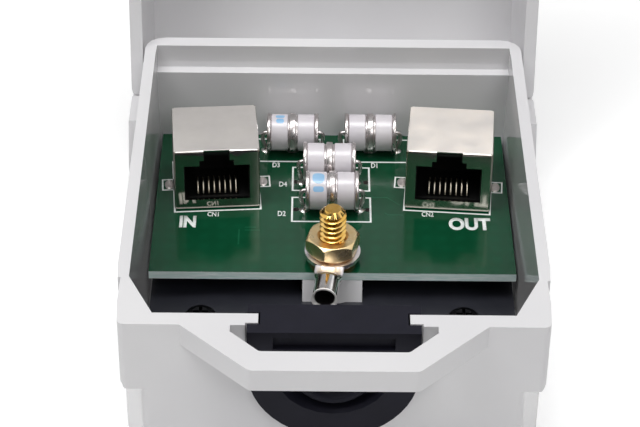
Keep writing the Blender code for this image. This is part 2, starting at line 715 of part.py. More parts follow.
def make_cable_entry(mat):
    """A U-shaped grommet: its groove slides down over the edges of the slot."""
    seat = FLANGE_REBATE - SEAT_GAP
    outer = seat - OUTER_FLANGE
    inner = NEAR_WALL + SEAT_GAP + INNER_FLANGE
    web = SLOT_RADIUS - SEAT_GAP
    entry = prism_along_y("cable_entry_insert", u_outline(FLANGE_RADIUS, BOX_HEIGHT), outer, seat, mat)
    join(entry, prism_along_y("web", u_outline(web, BOX_HEIGHT), seat - OUTER_FLANGE / 2,
                              inner - INNER_FLANGE / 2),
         prism_along_y("inner", u_outline(FLANGE_RADIUS, BOX_HEIGHT), NEAR_WALL + SEAT_GAP, inner))
    floor = outer + DISH_DEPTH
    profile = ((0, outer - OUTER_FLANGE), (DISH_RADIUS, outer - OUTER_FLANGE), (DISH_RADIUS, outer),
               (DISH_RADIUS - DISH_DEPTH / 4, floor), (0, floor))
    dish = turned_along_y("dish", profile, ROUND_STEPS)
    cut(dish, block("cut_off", (-FLANGE_RADIUS, FLANGE_RADIUS), (outer - NEAR_WALL, NEAR_WALL),
                    (DISH_CUT_OFF, FLANGE_RADIUS)))
    cut(entry, moved(dish, z=ENTRY_Z + DISH_RISE))
    thick = LIP_THICKNESS / 2
    lip = [(LIP_RADIUS + thick, floor + thick), (LIP_RADIUS - thick, floor + thick)]
    for i in range(SMALL_STEPS // 2 + 1):
        turn = math.tau * i / SMALL_STEPS
        lip.append((LIP_RADIUS - thick * math.cos(turn), outer + LIP_SINK - thick * math.sin(turn)))
    hole = ((0, outer - OUTER_FLANGE), (CABLE_HOLE_RADIUS, outer - OUTER_FLANGE),
            (CABLE_HOLE_RADIUS, inner + INNER_FLANGE), (0, inner + INNER_FLANGE))
    hole_z = ENTRY_Z - CABLE_HOLE_DROP
    join(entry, moved(turned_along_y("lip", lip, ROUND_STEPS), z=hole_z))
    recess_top = BOX_HEIGHT - FACE_RECESS_DROP
    cut(entry, moved(turned_along_y("cable_hole", hole, ROUND_STEPS), z=hole_z),
        block("face_recess", (-FACE_RECESS_HALF, FACE_RECESS_HALF),
              (outer - FACE_RECESS_DEPTH, outer + FACE_RECESS_DEPTH),
              (recess_top - FACE_RECESS_HEIGHT, recess_top)))
    shade_round(entry)
    return entry


# Inner plate

def make_base_plate(mat, screw_mat):
    inset = inset_at(PLATE_Z) + PLATE_WALL_GAP
    outline = cavity_outline(inset, NEAR_WALL + PLATE_NEAR_GAP, BOX_LENGTH - FAR_WALL - LEDGE_WIDTH - inset)
    plate = prism("base_plate", outline, PLATE_Z, PLATE_Z + PLATE_THICKNESS, mat)
    above = PLATE_Z + PLATE_THICKNESS + SEAT_GAP
    holes = [moved(rod("hole", STUD_BOSS_RADIUS + SEAT_GAP, FLOOR, above, ROUND_STEPS), y=STUD_Y)]
    for side in (-1, 1):
        holes.append(moved(rod("hole", FAR_POST_RADIUS + SEAT_GAP, FLOOR, above),
                           side * FAR_POST_X, FAR_POST_Y))
        holes.append(moved(rod("hole", SCREW_RADIUS + SEAT_GAP, FLOOR, above),
                           side * PLATE_SCREW_X, PLATE_SCREW_Y))
    cut(plate, *holes)
    shade_round(plate)

    head = PLATE_Z + PLATE_THICKNESS + SEAT_GAP
    tip = FLOOR + PLATE_LIFT - SCREW_BITE
    crown = SCREW_HEAD / 3
    profile = ((0, tip), (SCREW_RADIUS / 2, tip), (SCREW_RADIUS, tip + SCREW_RADIUS), (SCREW_RADIUS, head),
               (SCREW_HEAD_RADIUS, head), (SCREW_HEAD_RADIUS, head + crown),
               (SCREW_HEAD_RADIUS - crown, head + 2 * crown), (SCREW_HEAD_RADIUS / 2, head + SCREW_HEAD),
               (0, head + SCREW_HEAD))
    for name, side in (("base_screw_left", -1), ("base_screw_right", 1)):
        screw = turned(name, profile, SMALL_STEPS + 4, screw_mat)
        recess = SCREW_HEAD_RADIUS / 2
        blade = SCREW_HEAD / 4
        for x, y in ((recess, blade), (blade, recess)):
            cut(screw, block("drive", (-x, x), (-y, y), (head + crown, head + 2 * SCREW_HEAD)))
        shade_round(screw)
        screw.location = (side * PLATE_SCREW_X, PLATE_SCREW_Y, 0)


# Circuit board

def make_board(mat):
    outline = ((-BOARD_HALF, BOARD_NEAR_Y), (BOARD_HALF, BOARD_NEAR_Y), (BOARD_HALF, BOARD_FAR_Y),
               (-BOARD_HALF, BOARD_FAR_Y))
    board = prism("circuit_board", outline, BOARD_BOTTOM, BOARD_TOP, mat)
    low = BOARD_BOTTOM - BOARD_THICKNESS
    high = BOARD_TOP + BOARD_THICKNESS
    cut(board, moved(rod("stud_hole", STUD_RADIUS + SEAT_GAP, low, high), y=STUD_Y))
    for _, x, from_edge, left, right in TUBES:
        for reach in (-left, 0, right):
            cut(board, moved(rod("lead_hole", LEAD_RADIUS + HOLE_GAP, low, high, 8), x + reach,
                             BOARD_NEAR_Y + from_edge))
    for side in (-1, 1):
        for edge in (-1, 1):
            middle = edge * (JACK_WIDTH - SHEET) / 2
            reach = SHEET / 2 + HOLE_GAP
            along = LEG_WIDTH / 2 + HOLE_GAP
            slot = block("leg_slot", (middle - reach, middle + reach),
                         (LEG_FROM_FRONT - along, LEG_FROM_FRONT + along), (low, high))
            slot.data.transform(Matrix.Rotation(-side * JACK_TOE, 4, "Z"))
            cut(board, moved(slot, side * JACK_X, JACK_Y))
    return board


# Modular jacks, each about the middle of its front lower edge

def mouth_outline(shrink, sill, latch_top):
    """The (X, Z) outline of the plug opening, with its step and latch slot."""
    half = MOUTH_HALF - shrink
    step = STEP_HALF - shrink
    latch = LATCH_HALF - shrink
    top = MOUTH_SILL + MOUTH_HEIGHT - shrink
    step_top = top + STEP_HEIGHT
    right = [(half, sill), (half, top), (step, top), (step, step_top), (latch, step_top), (latch, latch_top)]
    return right + [(-x, z) for x, z in reversed(right)]


def make_shield(name, mat):
    half = JACK_WIDTH / 2
    shield = block(name, (-half, half), (0, JACK_LENGTH), (SEAT_GAP, JACK_HEIGHT), mat)
    bm = bmesh.new()
    bm.from_mesh(shield.data)
    low = min(v.co.z for v in bm.verts)
    edges = [e for e in bm.edges if any(v.co.z - low > LEVEL for v in e.verts)]
    bmesh.ops.bevel(bm, geom=edges, offset=SHIELD_ROUND, segments=2, profile=0.5, affect="EDGES")
    bm.to_mesh(shield.data)
    bm.free()
    cut(shield, block("sheet_room", (-half + SHEET, half - SHEET), (SHEET, JACK_LENGTH - SHEET),
                      (-SEAT_GAP, JACK_HEIGHT - SHEET)))
    cut(shield, prism_along_y("mouth", mouth_outline(0, MOUTH_SILL, JACK_HEIGHT - 2 * SHEET),
                              -SHEET, 2 * SHEET))
    for edge in (-1, 1):
        middle = edge * (half - SHEET / 2)
        join(shield, block("leg", (middle - SHEET / 2, middle + SHEET / 2),
                           (LEG_FROM_FRONT - LEG_WIDTH / 2, LEG_FROM_FRONT + LEG_WIDTH / 2),
                           (-BOARD_THICKNESS - TAIL, SEAT_GAP * 2)))
    shade_round(shield)
    return shield


def make_insulator(name, mat):
    half = JACK_WIDTH / 2 - SHEET - SEAT_GAP
    front = SHEET + SEAT_GAP
    top = JACK_HEIGHT - SHEET - SEAT_GAP
    insulator = block(name, (-half, half), (front, JACK_LENGTH - front), (SEAT_GAP * 2, top), mat)
    floor = MOUTH_SILL + MOUTH_LINER
    cut(insulator, prism_along_y("mouth", mouth_outline(MOUTH_LINER, floor, top - 2 * SHEET),
                                 front - SHEET, MOUTH_DEPTH))
    trench = (CONTACTS - 1) * CONTACT_PITCH / 2 + CONTACT_WIDTH / 2 + SEAT_GAP
    cut(insulator, block("trench", (-trench, trench), (TRENCH_FRONT, MOUTH_DEPTH),
                         (floor - TRENCH_DEPTH, floor + TRENCH_DEPTH)))
    return insulator


def contact_outline():
    """The (Y, Z) outline of one spring contact: along the trench, round, and back up."""
    low = MOUTH_SILL + MOUTH_LINER - TRENCH_DEPTH + SEAT_GAP + CONTACT_THICKNESS / 2
    front = TRENCH_FRONT + SEAT_GAP + CONTACT_THICKNESS / 2
    route = [Vector((MOUTH_DEPTH - SEAT_GAP, low))]
    for i in range(ARC_STEPS + 1):
        turn = CONTACT_TURN * i / ARC_STEPS
        route.append(Vector((front + CONTACT_BEND * (1 - math.sin(turn)),
                             low + CONTACT_BEND * (1 - math.cos(turn)))))
    route.append(Vector((front + CONTACT_REACH, low + CONTACT_RISE)))
    half = CONTACT_THICKNESS / 2
    left, right = [], []
    for i, point in enumerate(route):
        before = route[max(i - 1, 0)]
        after = route[min(i + 1, len(route) - 1)]
        along = (after - before).normalized()
        side = Vector((-along.y, along.x)) * half
        left.append(point + side)
        right.append(point - side)
    return left + right[::-1]


def make_jack(name, side, mats):
    base = bpy.data.objects.new(name, None)
    bpy.context.scene.collection.objects.link(base)
    base.location = (side * JACK_X, JACK_Y, BOARD_TOP)
    base.rotation_euler = (0, 0, -side * JACK_TOE)
    make_shield(name + "_shield", mats["shield"]).parent = base
    make_insulator(name + "_insulator", mats["black_plastic"]).parent = base
    first = prism_along_x(name + "_contact_1", contact_outline(), -CONTACT_WIDTH / 2, CONTACT_WIDTH / 2,
                          mats["gold"])
    for i in range(CONTACTS):
        contact = first
        if i:
            contact = bpy.data.objects.new("%s_contact_%d" % (name, i + 1), first.data)
            bpy.context.scene.collection.objects.link(contact)
        contact.location = ((i - (CONTACTS - 1) / 2) * CONTACT_PITCH, 0, 0)
        contact.parent = base


# Gas tubes, each about its own middle, its length along X

def make_ceramic(name, start, mat):
    end = start + CERAMIC_LENGTH
    profile = ((CERAMIC_BORE, start), (CERAMIC_RADIUS, start), (CERAMIC_RADIUS, end), (CERAMIC_BORE, end))
    ring = turned_along_x(name, profile, ROUND_STEPS, mat)
    shade_round(ring)
    return ring


def make_centre_electrode(name, mat):
    half = CENTRE_LENGTH / 2
    lip = half / 2
    groove = TUBE_RADIUS - GROOVE_DEPTH
    profile = ((CERAMIC_BORE, -half), (TUBE_RADIUS, -half), (TUBE_RADIUS, -lip), (groove, 0),
               (TUBE_RADIUS, lip), (TUBE_RADIUS, half), (CERAMIC_BORE, half))
    ring = turned_along_x(name, profile, ROUND_STEPS, mat)
    bottom = -TUBE_RADIUS - TUBE_LIFT - BOARD_THICKNESS - TAIL
    join(ring, wire("lead", ((0, 0, -CERAMIC_BORE - GROOVE_DEPTH), (0, 0, bottom)), LEAD_RADIUS))
    shade_round(ring)
    return ring


def make_end_electrode(name, side, reach, mat):
    start = CENTRE_LENGTH / 2 + 2 * BRAZE_GAP + CERAMIC_LENGTH
    end = start + CAP_LENGTH
    edge = CAP_LENGTH / 4
    profile = ((0, start), (TUBE_RADIUS, start), (TUBE_RADIUS, end - edge), (TUBE_RADIUS - edge, end),
               (0, end))
    cap = turned_along_x(name, profile, ROUND_STEPS, mat)
    bottom = -TUBE_RADIUS - TUBE_LIFT - BOARD_THICKNESS - TAIL
    corner = (reach, 0, 0)
    radius = min(LEAD_BEND, (reach - end) * 0.9)
    route = [(start + CAP_LENGTH / 3, 0, 0), *bend((start, 0, 0), corner, (reach, 0, bottom), radius),
             (reach, 0, bottom)]
    join(cap, wire("lead", route, LEAD_RADIUS))
    if side < 0:
        cap.data.transform(Matrix.Scale(-1, 4, (1, 0, 0)))
        cap.data.flip_normals()
    shade_round(cap)
    return cap


def make_gas_tube(label, x, from_edge, left, right, mats):
    name = "gas_tube_" + label
    base = bpy.data.objects.new(name, None)
    bpy.context.scene.collection.objects.link(base)
    base.location = (x, BOARD_NEAR_Y + from_edge, BOARD_TOP + TUBE_LIFT + TUBE_RADIUS)
    start = CENTRE_LENGTH / 2 + BRAZE_GAP
    pieces = (
        make_end_electrode(name + "_end_left", -1, left, mats["nickel"]),
        make_ceramic(name + "_ceramic_left", -start - CERAMIC_LENGTH, mats["ceramic"]),
        make_centre_electrode(name + "_centre", mats["nickel"]),
        make_ceramic(name + "_ceramic_right", start, mats["ceramic"]),
        make_end_electrode(name + "_end_right", 1, right, mats["nickel"]),
    )
    for piece in pieces:
        piece.parent = base


# Ground terminal

def make_ground_screw(mat):
    seat = BOARD_BOTTOM - SEAT_GAP
    tip = BOARD_TOP + STUD_TOP
    foot = STUD_HEAD / 6
    profile = ((0, seat - STUD_HEAD), (STUD_HEAD_RADIUS - foot, seat - STUD_HEAD),
               (STUD_HEAD_RADIUS, seat - STUD_HEAD + foot), (STUD_HEAD_RADIUS, seat), (STUD_RADIUS, seat),
               (STUD_RADIUS, tip - STUD_CHAMFER), (STUD_RADIUS - STUD_CHAMFER, tip), (0, tip))
    screw = turned("ground_screw", profile, ROUND_STEPS, mat)
    screw.location = (0, STUD_Y, 0)
    shade_round(screw)


def make_ground_lug(mat):
    """A tinned ring lug: flat ring, neck, and a crimp barrel that points to the cable entry."""
    bore = STUD_RADIUS + SEAT_GAP
    lug = turned("ground_lug", ((0, 0), (LUG_RADIUS, 0), (LUG_RADIUS, LUG_SHEET), (0, LUG_SHEET)),
                 ROUND_STEPS, mat)
    count = SMALL_STEPS
    axis = BARREL_AXIS - (LUG_Z - BOARD_TOP)
    sections = []
    for y, width, height, middle, power in (
            (-LUG_NECK_Y, LUG_NECK_WIDTH / 2, LUG_SHEET / 2, LUG_SHEET / 2, 0.25),
            (-BARREL_Y, BARREL_RADIUS, BARREL_RADIUS, axis, 1.0),
            (-BARREL_Y - BARREL_LENGTH, BARREL_RADIUS, BARREL_RADIUS, axis, 1.0)):
        ring = []
        for i in range(count):
            turn = math.tau * (i + 0.5) / count
            c, s = math.cos(turn), math.sin(turn)
            ring.append((math.copysign(abs(c) ** power, c) * width, y,
                         middle + math.copysign(abs(s) ** power, s) * height))
        sections.append(ring)
    bm = bmesh.new()
    loops = []
    for ring in sections:
        verts = [bm.verts.new(p) for p in ring]
        loops.append([bm.edges.new((verts[i - 1], verts[i])) for i in range(count)])
    for a, b in zip(loops, loops[1:]):
        bmesh.ops.bridge_loops(bm, edges=a + b)
    bmesh.ops.holes_fill(bm, edges=loops[0] + loops[-1], sides=count)
    join(lug, add_object("barrel", bm))
    bore_end = -BARREL_Y + BARREL_WALL
    mouth = -BARREL_Y - BARREL_LENGTH - BARREL_WALL
    hollow = ((0, mouth), (BARREL_RADIUS - BARREL_WALL, mouth), (BARREL_RADIUS - BARREL_WALL, bore_end),
              (0, bore_end))
    cut(lug, moved(turned_along_y("barrel_bore", hollow, SMALL_STEPS), z=axis),
        rod("stud_bore", bore, -LUG_SHEET, 2 * LUG_SHEET, ROUND_STEPS))
    lug.location = (0, STUD_Y, LUG_Z)
    lug.rotation_euler = (0, 0, LUG_TURN)
    shade_round(lug)


def make_washer(mat):
    bore = STUD_RADIUS + SEAT_GAP
    edge = WASHER_THICKNESS / 5
    high = WASHER_THICKNESS
    profile = ((bore, 0), (WASHER_RADIUS - edge, 0), (WASHER_RADIUS, edge), (WASHER_RADIUS, high - edge),
               (WASHER_RADIUS - edge, high), (bore, high))
    washer = turned("ground_washer", profile, ROUND_STEPS, mat)
    washer.location = (0, STUD_Y, WASHER_Z)
    shade_round(washer)


def make_nut(mat):
    corner = NUT_FLATS / math.sqrt(3)
    outline = [(corner * math.cos(math.radians(60 * i)), corner * math.sin(math.radians(60 * i)))
               for i in range(6)]
    nut = prism("ground_nut", outline, 0, NUT_HEIGHT, mat)
    flat = NUT_FLATS / 2
    fall = (corner - flat) * math.tan(math.radians(30))
    turned_shape = ((0, 0), (flat, 0), (corner, fall), (corner + THREAD_GAP, NUT_HEIGHT / 2),
                    (corner, NUT_HEIGHT - fall), (flat, NUT_HEIGHT), (0, NUT_HEIGHT))
    combine(nut, turned("chamfer", turned_shape, 3 * SMALL_STEPS), "INTERSECT")
    cut(nut, rod("bore", STUD_RADIUS + THREAD_GAP, -NUT_HEIGHT, 2 * NUT_HEIGHT, ROUND_STEPS))
    nut.location = (0, STUD_Y, NUT_Z)
    nut.rotation_euler = (0, 0, NUT_TURN)
    shade_round(nut, 20.0)


def main():
    clear_scene()
    mats = {
        "grey_plastic": material("moulded_light_grey_plastic", (0.69, 0.69, 0.70), 0.42),
        "black_plastic": material("black_moulded_plastic", (0.012, 0.012, 0.014), 0.45),
        "black_rubber": material("black_soft_plastic", (0.022, 0.021, 0.03), 0.6),
        "board": material("green_solder_mask", (0.012, 0.085, 0.036), 0.3),
        "shield": material("nickel_plated_sheet", (0.62, 0.60, 0.57), 0.3, 1.0),
        "gold": material("gold_plated_contact", (0.78, 0.55, 0.25), 0.25, 1.0),
        "ceramic": material("white_ceramic", (0.75, 0.74, 0.76), 0.35),
        "nickel": material("tinned_electrode", (0.60, 0.58, 0.58), 0.25, 1.0),
        "brass": material("polished_brass", (0.80, 0.56, 0.20), 0.25, 1.0),
        "tin": material("tinned_copper", (0.72, 0.71, 0.70), 0.2, 1.0),
        "dark_screw": material("black_steel_screw", (0.03, 0.03, 0.03), 0.4, 1.0),
    }
    make_housing(mats["grey_plastic"])
    make_lid(mats["grey_plastic"])
    make_cable_entry(mats["black_rubber"])
    make_base_plate(mats["black_plastic"], mats["dark_screw"])
    make_board(mats["board"])
    make_jack("in_jack", -1, mats)
    make_jack("out_jack", 1, mats)
    for label, x, from_edge, left, right in TUBES:
        make_gas_tube(label, x, from_edge, left, right, mats)
    make_ground_screw(mats["brass"])
    make_ground_lug(mats["tin"])
    make_washer(mats["brass"])
    make_nut(mats["brass"])
    for obj in bpy.data.objects:
        if obj.parent is None:
            obj.location.y -= BOX_LENGTH / 2


main()
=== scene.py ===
# %% [markdown]
# # An ethernet surge protector, dressed for its picture
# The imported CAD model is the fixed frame: every piece goes where the CAD says. This lesson
# gives the moulded box soft edges, builds the small parts that the CAD keeps plain, and
# mixes a material for each finish.

# %% Load the frame and note its size
import math

import bmesh
import bpy
from mathutils import Matrix, Vector


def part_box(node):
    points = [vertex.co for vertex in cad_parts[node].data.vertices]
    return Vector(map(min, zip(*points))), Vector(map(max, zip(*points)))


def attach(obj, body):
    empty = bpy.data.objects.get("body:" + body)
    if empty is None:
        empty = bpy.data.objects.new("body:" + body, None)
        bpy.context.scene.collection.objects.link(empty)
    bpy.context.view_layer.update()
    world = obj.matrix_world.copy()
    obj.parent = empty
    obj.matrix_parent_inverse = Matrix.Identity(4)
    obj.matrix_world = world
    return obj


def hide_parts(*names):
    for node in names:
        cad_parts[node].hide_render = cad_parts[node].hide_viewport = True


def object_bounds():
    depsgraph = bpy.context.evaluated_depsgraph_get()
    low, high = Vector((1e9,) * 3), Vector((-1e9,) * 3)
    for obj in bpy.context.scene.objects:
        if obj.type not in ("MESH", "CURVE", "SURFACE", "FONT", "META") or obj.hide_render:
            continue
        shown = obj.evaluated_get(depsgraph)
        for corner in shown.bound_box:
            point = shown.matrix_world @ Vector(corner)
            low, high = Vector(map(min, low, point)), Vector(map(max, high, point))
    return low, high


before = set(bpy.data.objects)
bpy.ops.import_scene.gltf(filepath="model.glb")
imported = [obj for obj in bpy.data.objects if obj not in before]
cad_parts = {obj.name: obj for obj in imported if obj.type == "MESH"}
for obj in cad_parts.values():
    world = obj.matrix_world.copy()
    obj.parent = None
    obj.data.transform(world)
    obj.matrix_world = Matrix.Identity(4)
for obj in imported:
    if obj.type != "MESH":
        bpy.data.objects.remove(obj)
cad_low, cad_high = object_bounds()
MM = 0.001


def metres(spot):
    """A point or a size given in millimetres."""
    return [v * MM for v in spot]


def new_object(name, data):
    """An object for a mesh, a lamp or a camera, linked to the scene."""
    thing = bpy.data.objects.new(name, data)
    bpy.context.scene.collection.objects.link(thing)
    return thing


print("CAD box in mm:", [round(v / MM, 1) for v in (cad_high - cad_low)])

# %% [markdown]
# ## The camera
# The photograph was taken from above the cable entry with a long lens, so the sides of the box
# hardly converge. The camera was worked out from the corners of the box, board and jacks.

# %% Camera
PHOTO_WIDTH = 640
FOCAL_PIXELS = 2160.6
SENSOR_MM = 36.0
camera_place = Vector((-3.44, -312.53, 251.54)) * MM
pitch = math.radians(36.508)
yaw = 0.0035
roll = 0.0110

forward = Vector((math.sin(yaw) * math.cos(pitch), math.cos(yaw) * math.cos(pitch), -math.sin(pitch)))
level_right = Vector((math.cos(yaw), -math.sin(yaw), 0))
level_up = level_right.cross(forward)
right = level_right * math.cos(roll) + level_up * math.sin(roll)
up = level_up * math.cos(roll) - level_right * math.sin(roll)

camera_data = bpy.data.cameras.new("photo_camera")
camera_data.sensor_width = SENSOR_MM
camera_data.lens = FOCAL_PIXELS * SENSOR_MM / PHOTO_WIDTH
camera_data.clip_start = 0.01
camera = new_object("photo_camera", camera_data)
camera.matrix_world = Matrix.Translation(camera_place) @ Matrix((right, up, -forward)).transposed().to_4x4()
bpy.context.scene.camera = camera
print("lens in mm:", round(camera_data.lens, 1))

# %% [markdown]
# ## Colours and nodes
# Colours are written as sRGB hex values, the way a colour picker shows them, and one function
# turns them into the linear values that Blender works with. A second function adds any node,
# sets its options and values, and links it.

# %% Colour and node helpers
def colour(hex_code):
    channels = [int(hex_code[i:i + 2], 16) / 255 for i in (1, 3, 5)]
    linear = [c / 12.92 if c <= 0.04045 else ((c + 0.055) / 1.055) ** 2.4 for c in channels]
    return (*linear, 1.0)


def add_node(tree, kind, settings=None, values=None, links=None):
    """Adds a node, sets its options and socket values, and links outputs of others into it."""
    node = tree.nodes.new(kind)
    for name, value in (settings or {}).items():
        setattr(node, name, value)
    for socket, value in (values or {}).items():
        node.inputs[socket].default_value = value
    for socket, source in (links or {}).items():
        tree.links.new(source, node.inputs[socket])
    return node


print("node helpers ready")

# %% [markdown]
# ## The recipe of a finish
# No real surface is even. So each finish follows noise of a real size in three ways: a cloud
# blends two shades, a patch varies the roughness, and a grain lifts the surface. This could be
# painted, but noise on Object coordinates has no seams and keeps its size on every piece. What
# has no noise of its own follows the cloud. A noise is its size in millimetres and its detail,
# and three more numbers stretch it along X, Y and Z.

# %% Finishes that follow noise
NOISE_RANGE = (0.3, 0.7)  # a noise seldom leaves it


def start_material(name, values, noises):
    """A material, its tree, its shader and its patterns, each from a size in mm and a detail."""
    material = bpy.data.materials.new(name)
    material.use_nodes = True
    tree = material.node_tree
    shader = tree.nodes["Principled BSDF"]
    for socket, value in values.items():
        shader.inputs[socket].default_value = value
    place = add_node(tree, "ShaderNodeTexCoord").outputs["Object"]
    patterns = {"place": place}
    for use, (size, detail, *stretch) in noises.items():
        drawn_out = add_node(tree, "ShaderNodeMapping", values={"Scale": stretch or (1, 1, 1)},
                             links={"Vector": place})
        noise = add_node(tree, "ShaderNodeTexNoise", values={"Scale": 1 / (size * MM), "Detail": detail},
                         links={"Vector": drawn_out.outputs["Vector"]})
        patterns[use] = noise.outputs["Fac"]
    return material, tree, shader, patterns


def follow(tree, shader, patterns, shades, rough=None, depth_mm=None, blend=NOISE_RANGE):
    """Links the patterns to the colour and, where given, to the roughness and the height."""
    cloud = patterns["cloud"]
    low, high = NOISE_RANGE
    factor = add_node(tree, "ShaderNodeMapRange", values={"From Min": blend[0], "From Max": blend[1]},
                      links={"Value": cloud}).outputs["Result"]
    mix = add_node(tree, "ShaderNodeMix", {"data_type": "RGBA"},
                   {6: colour(shades[0]), 7: colour(shades[1])}, {"Factor": factor})
    tree.links.new(mix.outputs[2], shader.inputs["Base Color"])
    if rough:
        sheen = add_node(tree, "ShaderNodeMapRange",
                         values={"From Min": low, "From Max": high, "To Min": rough[0], "To Max": rough[1]},
                         links={"Value": patterns.get("patch", cloud)})
        tree.links.new(sheen.outputs["Result"], shader.inputs["Roughness"])
    if depth_mm:
        bump = add_node(tree, "ShaderNodeBump", values={"Strength": 1.0, "Distance": depth_mm * MM},
                        links={"Height": patterns.get("grain", cloud)})
        tree.links.new(bump.outputs["Normal"], shader.inputs["Normal"])


def finish(name, values, noises, shades, rough=None, depth_mm=None):
    """A whole material in one call."""
    material, tree, shader, patterns = start_material(name, values, noises)
    follow(tree, shader, patterns, shades, rough, depth_mm)
    return material


print("recipe ready")

# %% [markdown]
# ## Plastics
# The box and lid are injection-moulded light grey ABS. The mould's outer faces were spark
# eroded, so they are satin, while its core was polished, so the walls inside shine and mirror
# the circuit board at a shallow angle. The two finishes share a colour and differ in roughness
# and in the depth of the grain.

# %% Light grey ABS, satin outside and polished inside
def grey_abs(name, roughness, grain_depth):
    return finish(name, {"IOR": 1.53}, {"cloud": (24.0, 2.0), "patch": (7.0, 2.0), "grain": (0.45, 3.0)},
                  ("#DAD9DB", "#E0DFE0"), (roughness * 0.88, roughness * 1.12), grain_depth)


satin_abs = grey_abs("light_grey_abs_satin", 0.42, 0.006)
polished_abs = grey_abs("light_grey_abs_polished", 0.06, 0.0004)
print("mixed", satin_abs.name, "and", polished_abs.name)

# %% [markdown]
# ## Dark plastics
# The plate inside is black ABS, the grommet is PVC made soft with oil, and the jacks' bodies are
# nylon filled with glass. All three are near black, so what tells them apart is their gloss: the
# PVC hardly shines, the plate shines a little, and the nylon is dull.

# %% Black ABS, soft black PVC and the jacks' nylon
def dark_plastic(name, shades, roughness, grain_mm, grain_depth, gloss=0.5):
    return finish(name, {"IOR": 1.5, "Specular IOR Level": gloss},
                  {"cloud": (5.0, 2.0), "patch": (3.0, 2.0), "grain": (grain_mm, 3.0)},
                  shades, (roughness * 0.95, roughness * 1.05), grain_depth)


black_abs = dark_plastic("black_abs_satin", ("#202128", "#26272E"), 0.38, 0.5, 0.004)
soft_pvc = dark_plastic("soft_black_pvc", ("#16161F", "#1A1A24"), 0.55, 0.7, 0.006, gloss=0.13)
black_nylon = dark_plastic("black_glass_filled_nylon", ("#050505", "#0A0A0A"), 0.5, 0.3, 0.004)
print("mixed", black_abs.name, soft_pvc.name, black_nylon.name)

# %% [markdown]
# ## The circuit board's finishes
# A board is glass cloth in epoxy with copper on it, a glossy green solder mask over that, and
# white ink printed on top. The mask looks darker over bare laminate and a little lighter over
# copper, and the cloth's weave shows faintly through it. Its real threads lie half a millimetre
# apart, which is too fine to show, so two crossed waves draw them 3.1 mm apart. At scale 1 a
# wave repeats every 314 mm.

# %% Solder mask over laminate and over copper
WAVE_SCALE = 100
WEAVE_SHARE = 0.25


def solder_mask(name, deep, pale):
    material, tree, shader, patterns = start_material(
        name, {"IOR": 1.52, "Specular IOR Level": 0.43},
        {"cloud": (9.0, 2.0), "patch": (6.0, 2.0), "grain": (6.0, 2.0)})
    waves = {}
    for socket, direction in enumerate("XY"):
        wave = add_node(tree, "ShaderNodeTexWave", {"bands_direction": direction},
                        {"Scale": WAVE_SCALE, "Distortion": 0.6}, {"Vector": patterns["place"]})
        waves[socket] = wave.outputs["Fac"]
    weave = add_node(tree, "ShaderNodeMath", {"operation": "MULTIPLY"}, links=waves)
    both = add_node(tree, "ShaderNodeMath", {"operation": "MULTIPLY_ADD"}, {1: WEAVE_SHARE},
                    {0: weave.outputs[0], 2: patterns["cloud"]})
    patterns["cloud"] = both.outputs[0]
    follow(tree, shader, patterns, (deep, pale), (0.1, 0.15), 0.002, blend=(0.35, 0.85))
    return material


mask_over_laminate = solder_mask("green_solder_mask", "#0C4229", "#0E4A30")
mask_over_copper = solder_mask("green_solder_mask_over_copper", "#165238", "#1A5A3E")

# %% [markdown]
# ## The sawn edge
# Where the board is cut from its panel, the bare laminate shows: layers of glass cloth in clear
# resin, pale green and a little furry. Its colour here is painted paler than bare laminate,
# painted light on an edge that lies in the box's shade. Noise stretched along the board gives
# the layers. It could be a wave texture, but real layers are broken up by the saw.

# %% Sawn laminate edge
# The edge's colour is painted paler than bare laminate, painted light.
board_edge_painted_light = finish("sawn_laminate_edge_painted_light", {"IOR": 1.52, "Roughness": 0.6},
                    {"cloud": (0.6, 4.0, 0.25, 0.25, 2.5)}, ("#D2EEE9", "#F4FFFC"), depth_mm=0.05)

# %% [markdown]
# ## The printing ink
# The legend is screen printed in white epoxy ink, which is thin and slightly uneven, so its
# colour varies a little and its surface has a fine grain.

# %% White component ink
white_ink = finish("white_legend_ink", {"IOR": 1.5, "Roughness": 0.5},
                   {"cloud": (0.5, 3.0), "grain": (0.3, 2.0)}, ("#E4EAE6", "#FAFCFB"), depth_mm=0.01)
print("mixed", mask_over_laminate.name, mask_over_copper.name, board_edge_painted_light.name, white_ink.name)

# %% [markdown]
# ## Metals
# Most metals take their colour from what they are and their softness from how they were made:
# the shields are pressed from nickel-plated sheet, the electrodes and the lug are tinned, the
# screw and nut are turned brass, and the contacts are gold over nickel. Some are lit and shaded
# copies instead: the jack tops are rougher and painted lighter than the fronts, a painted
# highlight over a painted shade, and the out jack's are lighter than the in jack's; the lug's
# bore is painted shade, and its lip and neck are painted highlights.
# Where the shade is deeper the metal is duller. Each keeps the default index of refraction.

# %% Metals
def metal(name, deep, pale, shiny, dull, cloud_mm, grain_mm, grain_depth, stretch=()):
    return finish(name, {"Metallic": 1.0}, {"cloud": (cloud_mm, 3.0), "grain": (grain_mm, 2.0, *stretch)},
                  (deep, pale), (dull, shiny), grain_depth)


